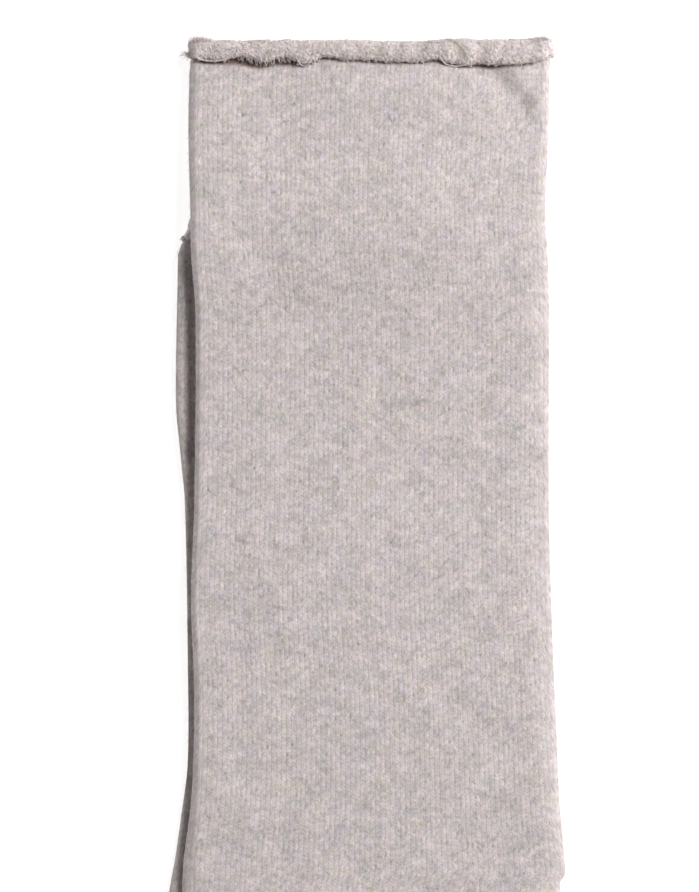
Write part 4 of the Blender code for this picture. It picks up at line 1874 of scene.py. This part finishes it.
UPPER = FlatSock(
    name="upper",
    node="upper_sock",
    rim=0.0,
    foot_left=0.0,
    roll_length=6.3,
    roll_proud=2.9,
    roll_insets=(0.8, -0.6),
    leg=(
        LegRow(0.0, -49.0, 47.8),
        LegRow(6.4, -48.6, 48.0),
        LegRow(23.5, -48.8, 47.8),
        LegRow(44.4, -48.2, 46.8),
        LegRow(58.9, -47.8, 47.5),
        LegRow(72.3, -46.8, 47.9),
        LegRow(123.0, -47.1, 47.9),
        LegRow(150.0, -48.0, 48.5),
        LegRow(171.3, -47.2, 49.3),
        LegRow(187.3, -47.2, 50.0),
        LegRow(203.4, -48.0, 50.7),
        LegRow(219.5, -50.1, 52.0),
        LegRow(223.2, -50.3, 52.2),
        LegRow(224.4, -50.4, 50.9),
        LegRow(FOOT.leg_depth, FOOT.ankle_left, FOOT.ankle_right),
    ),
    lift=(
        LiftRow(7.0, 2.9),
        LiftRow(20.0, 4.2),
        LiftRow(36.0, 7.0),
        LiftRow(46.0, 8.1),
        LiftRow(57.0, 8.1),
        LiftRow(68.0, 7.0),
        LiftRow(80.0, 5.9),
        LiftRow(94.0, 5.3),
        LiftRow(112.0, CLOTH.flat + CLOTH.clearance),
    ),
    crown=(
        CrownRow(0.0, 2.6, 2.4),
        CrownRow(18.0, 2.4, 2.4),
        CrownRow(34.0, 2.2, 4.5),
        CrownRow(60.0, 1.4, 9.5),
        CrownRow(100.0, 1.2, 10.5),
        CrownRow(160.0, 1.4, 9.0),
        CrownRow(205.0, 2.0, 5.5),
        CrownRow(FOOT.leg_depth, 6.0, 6.0),
    ),
    edge=(
        EdgeRow(-50.0, 1.1, 3.9, 0.0),
        EdgeRow(-47.8, 0.5, 4.8, 0.4),
        EdgeRow(-44.5, 0.0, 5.3, 1.6),
        EdgeRow(-41.0, 0.2, 5.5, 1.5),
        EdgeRow(-38.0, 0.1, 5.1, 2.4),
        EdgeRow(-35.0, 0.2, 4.7, 3.2),
        EdgeRow(-32.0, 0.2, 5.0, 3.9),
        EdgeRow(-28.5, -0.1, 5.9, 2.8),
        EdgeRow(-25.0, 0.1, 5.1, 2.6),
        EdgeRow(-22.5, 0.0, 5.0, 3.2),
        EdgeRow(-18.0, -0.1, 6.3, 0.8),
        EdgeRow(-15.5, 0.0, 5.7, 0.5),
        EdgeRow(-12.5, 0.0, 4.7, 1.0),
        EdgeRow(-8.0, -0.1, 5.2, 0.7),
        EdgeRow(-3.0, -0.1, 5.4, 1.0),
        EdgeRow(3.6, 0.3, 5.7, 1.2),
        EdgeRow(9.0, 0.3, 6.0, 0.8),
        EdgeRow(14.0, 0.4, 5.8, 0.8),
        EdgeRow(17.5, 0.0, 5.2, 1.3),
        EdgeRow(21.0, -0.5, 6.3, 1.0),
        EdgeRow(25.5, -0.4, 6.8, 1.0),
        EdgeRow(29.0, -0.2, 6.5, 1.3),
        EdgeRow(34.0, -0.2, 6.7, 1.4),
        EdgeRow(38.5, -0.4, 6.6, 0.9),
        EdgeRow(40.8, -0.5, 6.5, 0.4),
        EdgeRow(42.2, -0.6, 6.2, 0.9),
        EdgeRow(44.0, -0.7, 5.9, 0.2),
        EdgeRow(46.5, -0.8, 5.2, 0.0),
        EdgeRow(49.0, 0.0, 4.0, 0.0),
    ),
    pile=(
        PileRow(-50.0, 0.6, 0.3),
        PileRow(-38.0, 0.65, 0.8),
        PileRow(-31.0, 0.7, 1.2),
        PileRow(-19.0, 0.65, 1.0),
        PileRow(-12.0, 0.55, 0.5),
        PileRow(17.0, 0.6, 0.5),
        PileRow(27.0, 0.55, 0.4),
        PileRow(42.0, 0.55, 0.6),
        PileRow(49.0, 0.5, 0.2),
    ),
    tufts=(
        Tuft(-45.5, 0.32, (-0.2, 1.0, 0.5), 260, 3.2, 1.5),
        Tuft(-48.6, 0.62, (-1.0, -0.1, 0.2), 110, 1.2, 1.3),
        Tuft(-30.0, 0.30, (0.2, 1.0, 0.6), 100, 4.0, 0.9),
        Tuft(17.0, 0.34, (-0.2, 1.0, 0.5), 80, 1.6, 1.0),
        Tuft(22.5, 0.34, (0.1, 1.0, 0.6), 90, 1.8, 1.2),
        Tuft(46.0, 0.36, (0.4, 1.0, 0.5), 120, 3.0, 1.0),
    ),
    strands=(
        Strand(((-47.0, 4.3), (-45.8, 5.2), (-44.0, 5.6), (-41.0, 5.7), (-38.8, 5.3), (-37.4, 4.2))),
        Strand(((23.6, 1.2), (25.2, 3.0), (26.4, 5.2), (25.4, 6.8), (22.4, 7.1), (19.8, 6.4), (18.4, 4.6))),
        Strand(((-19.8, 5.0), (-18.6, 6.9), (-16.6, 6.6), (-15.6, 4.8))),
    ),
    dents=(
        Dent((31.5, -8.0), (39.8, -16.5), 3.8, -1.15),
        Dent((35.5, -5.0), (44.0, -15.5), 3.4, 0.85),
        Dent((-27.0, -10.0), (-22.0, -24.0), 6.0, -0.45),
        Dent((8.0, -16.0), (12.0, -50.0), 24.0, 1.0),
        Dent((-15.0, -28.0), (-4.0, -27.0), 5.0, -0.25),
        Dent((-34.0, -52.0), (-18.0, -76.0), 5.0, -0.30),
        Dent((19.0, -66.0), (40.0, -64.0), 3.2, -0.16),
        Dent((-35.0, -190.0), (-18.0, -194.0), 6.5, -0.28),
        Dent((31.0, -222.0), (48.0, -226.0), 7.0, -0.30),
        Dent((2.0, -88.0), (4.0, -150.0), 4.0, -0.12),
        Dent((-46.0, -247.0), (8.0, -262.0), 8.0, -0.9),
        Dent((-57.0, -262.0), (4.0, -286.0), 7.0, -0.8),
        Dent((-70.0, -276.0), (-22.0, -309.0), 6.0, -0.6),
        Dent((14.0, -272.0), (42.0, -296.0), 6.0, 0.5),
        Dent((-100.0, -300.0), (-112.0, -340.0), 7.0, -0.45),
        Dent((-132.0, -306.0), (-138.0, -352.0), 9.0, -0.4),
    ),
)

LOWER = FlatSock(
    name="lower",
    node="lower_sock",
    rim=-48.7,
    foot_left=4.0,
    roll_length=6.6,
    roll_proud=1.4,
    roll_insets=(0.4, 0.5),
    below_roll=6.6,
    leg=(
        LegRow(0.0, -48.5, 43.0),
        LegRow(5.0, -49.8, 43.6),
        LegRow(6.5, -51.0, 43.9),
        LegRow(7.8, -51.6, 44.0),
        LegRow(9.5, -51.7, 44.1),
        LegRow(14.0, -51.8, 44.4),
        LegRow(48.0, -52.3, 45.0),
        LegRow(62.0, -51.1, 45.6),
        LegRow(75.0, -49.9, 46.2),
        LegRow(117.0, -49.1, 46.6),
        LegRow(145.0, -49.1, 46.6),
        LegRow(158.0, -50.7, 46.6),
        LegRow(170.0, -52.4, 46.4),
        LegRow(182.0, -54.3, 46.0),
        LegRow(FOOT.leg_depth, FOOT.ankle_left - 4.0, FOOT.ankle_right - 4.0),
    ),
    lift=(
        LiftRow(8.0, 1.4),
        LiftRow(18.0, 0.9),
        LiftRow(30.0, 0.2),
        LiftRow(40.0, 0.0),
    ),
    crown=(
        CrownRow(0.0, 2.4, 5.0),
        CrownRow(190.0, 2.4, 5.0),
        CrownRow(FOOT.leg_depth, 6.0, 6.0),
    ),
    edge=(
        EdgeRow(-50.0, -2.4, 4.6, 0.0),
        EdgeRow(-46.0, -2.0, 5.0, 0.1),
        EdgeRow(-36.0, -0.2, 5.8, 0.9),
        EdgeRow(-22.0, 0.2, 5.2, 0.6),
        EdgeRow(-8.0, -0.1, 6.0, 1.0),
        EdgeRow(8.0, 0.2, 5.4, 0.7),
        EdgeRow(24.0, -0.2, 5.9, 1.0),
        EdgeRow(46.0, 0.2, 5.0, 0.4),
    ),
    pile=(PileRow(-50.0, 0.5, 0.1), PileRow(48.0, 0.55, 0.2)),
    tufts=(),
    strands=(),
    dents=(
        Dent((-47.2, -10.0), (-47.2, -62.0), 2.4, -2.6),
        Dent((-47.2, -62.0), (-46.5, -110.0), 2.1, -2.2),
        Dent((-46.5, -110.0), (-48.0, -182.0), 2.1, -2.2),
        Dent((-51.4, -166.0), (-53.6, -182.0), 0.7, 0.5),
        Dent((-60.0, -262.0), (0.0, -288.0), 8.0, -0.5),
        Dent((-104.0, -300.0), (-118.0, -346.0), 8.0, -0.5),
        Dent((-150.0, -308.0), (-154.0, -350.0), 8.0, -0.4),
    ),
)


@dataclass(frozen=True)
class Dressing:
    """What goes on a sock's wall. Only the rims are seen from close by, so the
    lower sock, which is nearly hidden, has a thinner one."""

    seed: int
    loops: LoopForm = LoopForm()
    curls: BedForm = BedForm()
    nap: FibreForm = FACE_NAP
    fuzz: FibreForm = RIM_FUZZ
    lip: ChainForm = LIP_CHAIN


THIN_DRESSING = Dressing(
    seed=7,
    loops=LoopForm(rows=6),
    curls=BedForm(finer=2, rows=40),
    nap=replace(FACE_NAP, count=3500),
    fuzz=replace(RIM_FUZZ, count=1500),
    lip=SUNK_CHAIN,
)


@dataclass
class DressedSock:
    """One sock: its wall, its rim's terry and fuzz, its nap and its chains."""

    sock: FlatSock
    bed: Bed
    dressing: Dressing
    slot: str = "heather_knit"

    def build(self, maker: MeshMaker, finishes: dict) -> None:
        """Builds the pieces, dresses them and ties them to the frame.

        Args:
            maker: What turns points into objects.
            finishes: The materials by what the yarn is made into.
        """
        wall = SockWall(self.sock, self.bed, maker)
        knit = wall.build()
        made = self.dressing
        terry = TerryPile(wall, made.seed, made.loops, made.curls)
        fibres = LooseFibres(wall, made.seed + 1)
        dressed = (
            (knit, Fibre.JERSEY),
            (terry.build_bed(), Fibre.LOOP),
            (terry.build_loops(), Fibre.LOOP),
            (fibres.build_nap(made.nap), Fibre.NAP),
            (fibres.build_fuzz(made.fuzz), Fibre.NAP),
            (Chains(wall, made.seed + 2, made.lip).build(), Fibre.SELVEDGE),
        )
        for piece, fibre in dressed:
            piece.data.materials.append(finishes[fibre])
            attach(piece, "root")
            LOG.info("%s: %d faces", piece.name, len(piece.data.polygons))
        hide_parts(self.sock.node)


# ---------------------------------------------------------------- the studio


@dataclass(frozen=True)
class Lamp:
    """A square area light: the way to it, its distance, its side and its power."""

    name: str
    towards: tuple
    distance: float
    side: float
    power: float


@dataclass(frozen=True)
class Studio:
    """A plain pale floor, soft light and the camera straight above."""

    floor_side: float = 8.0
    floor_depth: float = 0.0004  # below what the pair rests on
    floor_colour: tuple = (0.82, 0.82, 0.82, 1.0)
    floor_roughness: float = 0.9
    floor_specular: float = 0.1
    floor_glow: float = 0.7
    ambient: float = 0.24
    backdrop: float = 0.9
    lens: float = 200.0
    sensor: float = 36.0
    farthest: float = 100.0  # that the camera sees
    view_centre: tuple = (59.6, 97.8)  # millimetres in the frame, on the cloth
    view_height: float = 238.7  # millimetres of cloth that the picture's height shows
    cloth_height: float = 8.0
    lamps: tuple = (
        Lamp("key", (0.55, 0.36, 1.0), 1.6, 0.6, 21.0),
        Lamp("rim", (1.0, 0.15, 0.41), 1.6, 0.8, 13.5),
    )

    def build_floor(self) -> None:
        """Lays the floor, which glows a little, as a lit white sheet does."""
        half = self.floor_side / 2
        corners = [(-half, -half), (half, -half), (half, half), (-half, half)]
        mesh = bpy.data.meshes.new("floor")
        mesh.from_pydata([(x, y, -self.floor_depth) for x, y in corners], [], [(0, 1, 2, 3)])
        made = bpy.data.materials.new("pale_floor")
        made.use_nodes = True
        feeds = {
            "Base Color": self.floor_colour,
            "Roughness": self.floor_roughness,
            "Specular IOR Level": self.floor_specular,
            "Emission Color": WHITE,
            "Emission Strength": self.floor_glow,
        }
        Graph(made.node_tree).feed(made.node_tree.nodes["Principled BSDF"], feeds)
        mesh.materials.append(made)
        floor = put("floor", mesh)

    def build_world(self) -> None:
        """Sets the soft light from all round, and the backdrop that is seen."""
        world = bpy.data.worlds.new("studio")
        bpy.context.scene.world = world
        world.use_nodes = True
        graph = Graph(world.node_tree)
        background = world.node_tree.nodes["Background"]
        graph.feed(background, {"Strength": self.ambient, "Color": WHITE})
        seen = graph.add("ShaderNodeBackground", {"Strength": self.backdrop, "Color": WHITE})
        ray = graph.add("ShaderNodeLightPath").outputs["Is Camera Ray"]
        feeds = {0: ray, 1: background.outputs[0], 2: seen.outputs[0]}
        both = graph.add("ShaderNodeMixShader", feeds).outputs[0]
        graph.feed(world.node_tree.nodes["World Output"], {"Surface": both})

    def build_lamps(self) -> None:
        """Hangs the area lights, which the camera doesn't see."""
        target = Vector((*self.view_centre, 0.0)) * MM
        for lamp in self.lamps:
            data = bpy.data.lights.new(lamp.name, "AREA")
            data.shape = "SQUARE"
            data.size = lamp.side
            data.energy = lamp.power
            way = Vector(lamp.towards).normalized()
            light = put(lamp.name, data)
            light.location = target + way * lamp.distance
            light.rotation_euler = way.to_track_quat("Z", "Y").to_euler()
            light.visible_camera = False

    def build_camera(self) -> None:
        """Puts the camera straight above the middle of what the picture shows."""
        data = bpy.data.cameras.new("camera")
        data.lens = self.lens
        data.sensor_width = self.sensor
        data.clip_end = self.farthest
        camera = put("camera", data)
        height = self.view_height * self.lens / self.sensor + self.cloth_height
        camera.location = Vector((*self.view_centre, height)) * MM
        bpy.context.scene.camera = camera

    def build(self) -> None:
        """Builds the whole studio."""
        self.build_floor()
        self.build_world()
        self.build_lamps()
        self.build_camera()
        bpy.context.scene.view_settings.view_transform = "Standard"
        LOG.info("studio: floor, world, %d lamps and camera", len(self.lamps))


FINISHES = (
    Heather("heather_knit", Fibre.JERSEY),
    Heather(
        "heather_terry_loop",
        Fibre.LOOP,
        ground=(0.605, 0.537, 0.523, 1.0),
        streaks=0.2,
        flecks=0.1,
        sheen=0.1,
        scatter=0.5,
    ),
    Heather(
        "heather_selvedge",
        Fibre.SELVEDGE,
        ground=(0.60, 0.53, 0.50, 1.0),
        streaks=0.2,
        flecks=0.1,
    ),
    Heather(
        "heather_nap",
        Fibre.NAP,
        ground=(0.80, 0.72, 0.70, 1.0),
        streaks=0.1,
        specks=0.3,
        flecks=0.0,
        sheen=0.1,
    ),
)


def build_finishes() -> dict:
    """Makes the materials.

    Returns:
        One material for each thing that the yarn is made into.
    """
    yarn, stitches = HeatherYarn().group(), PlainStitches().group()
    return {finish.fibre: finish.material(yarn, stitches) for finish in FINISHES}


def main() -> None:
    """Builds the studio and both socks, in order."""
    logging.basicConfig(level=logging.INFO, format="%(name)s: %(message)s")
    Studio().build()
    maker = MeshMaker()
    finishes = build_finishes()
    DressedSock(LOWER, Bed(None), THIN_DRESSING).build(maker, finishes)
    DressedSock(UPPER, Bed(LOWER), Dressing(seed=3)).build(maker, finishes)


if __name__ == "__main__":
    main()
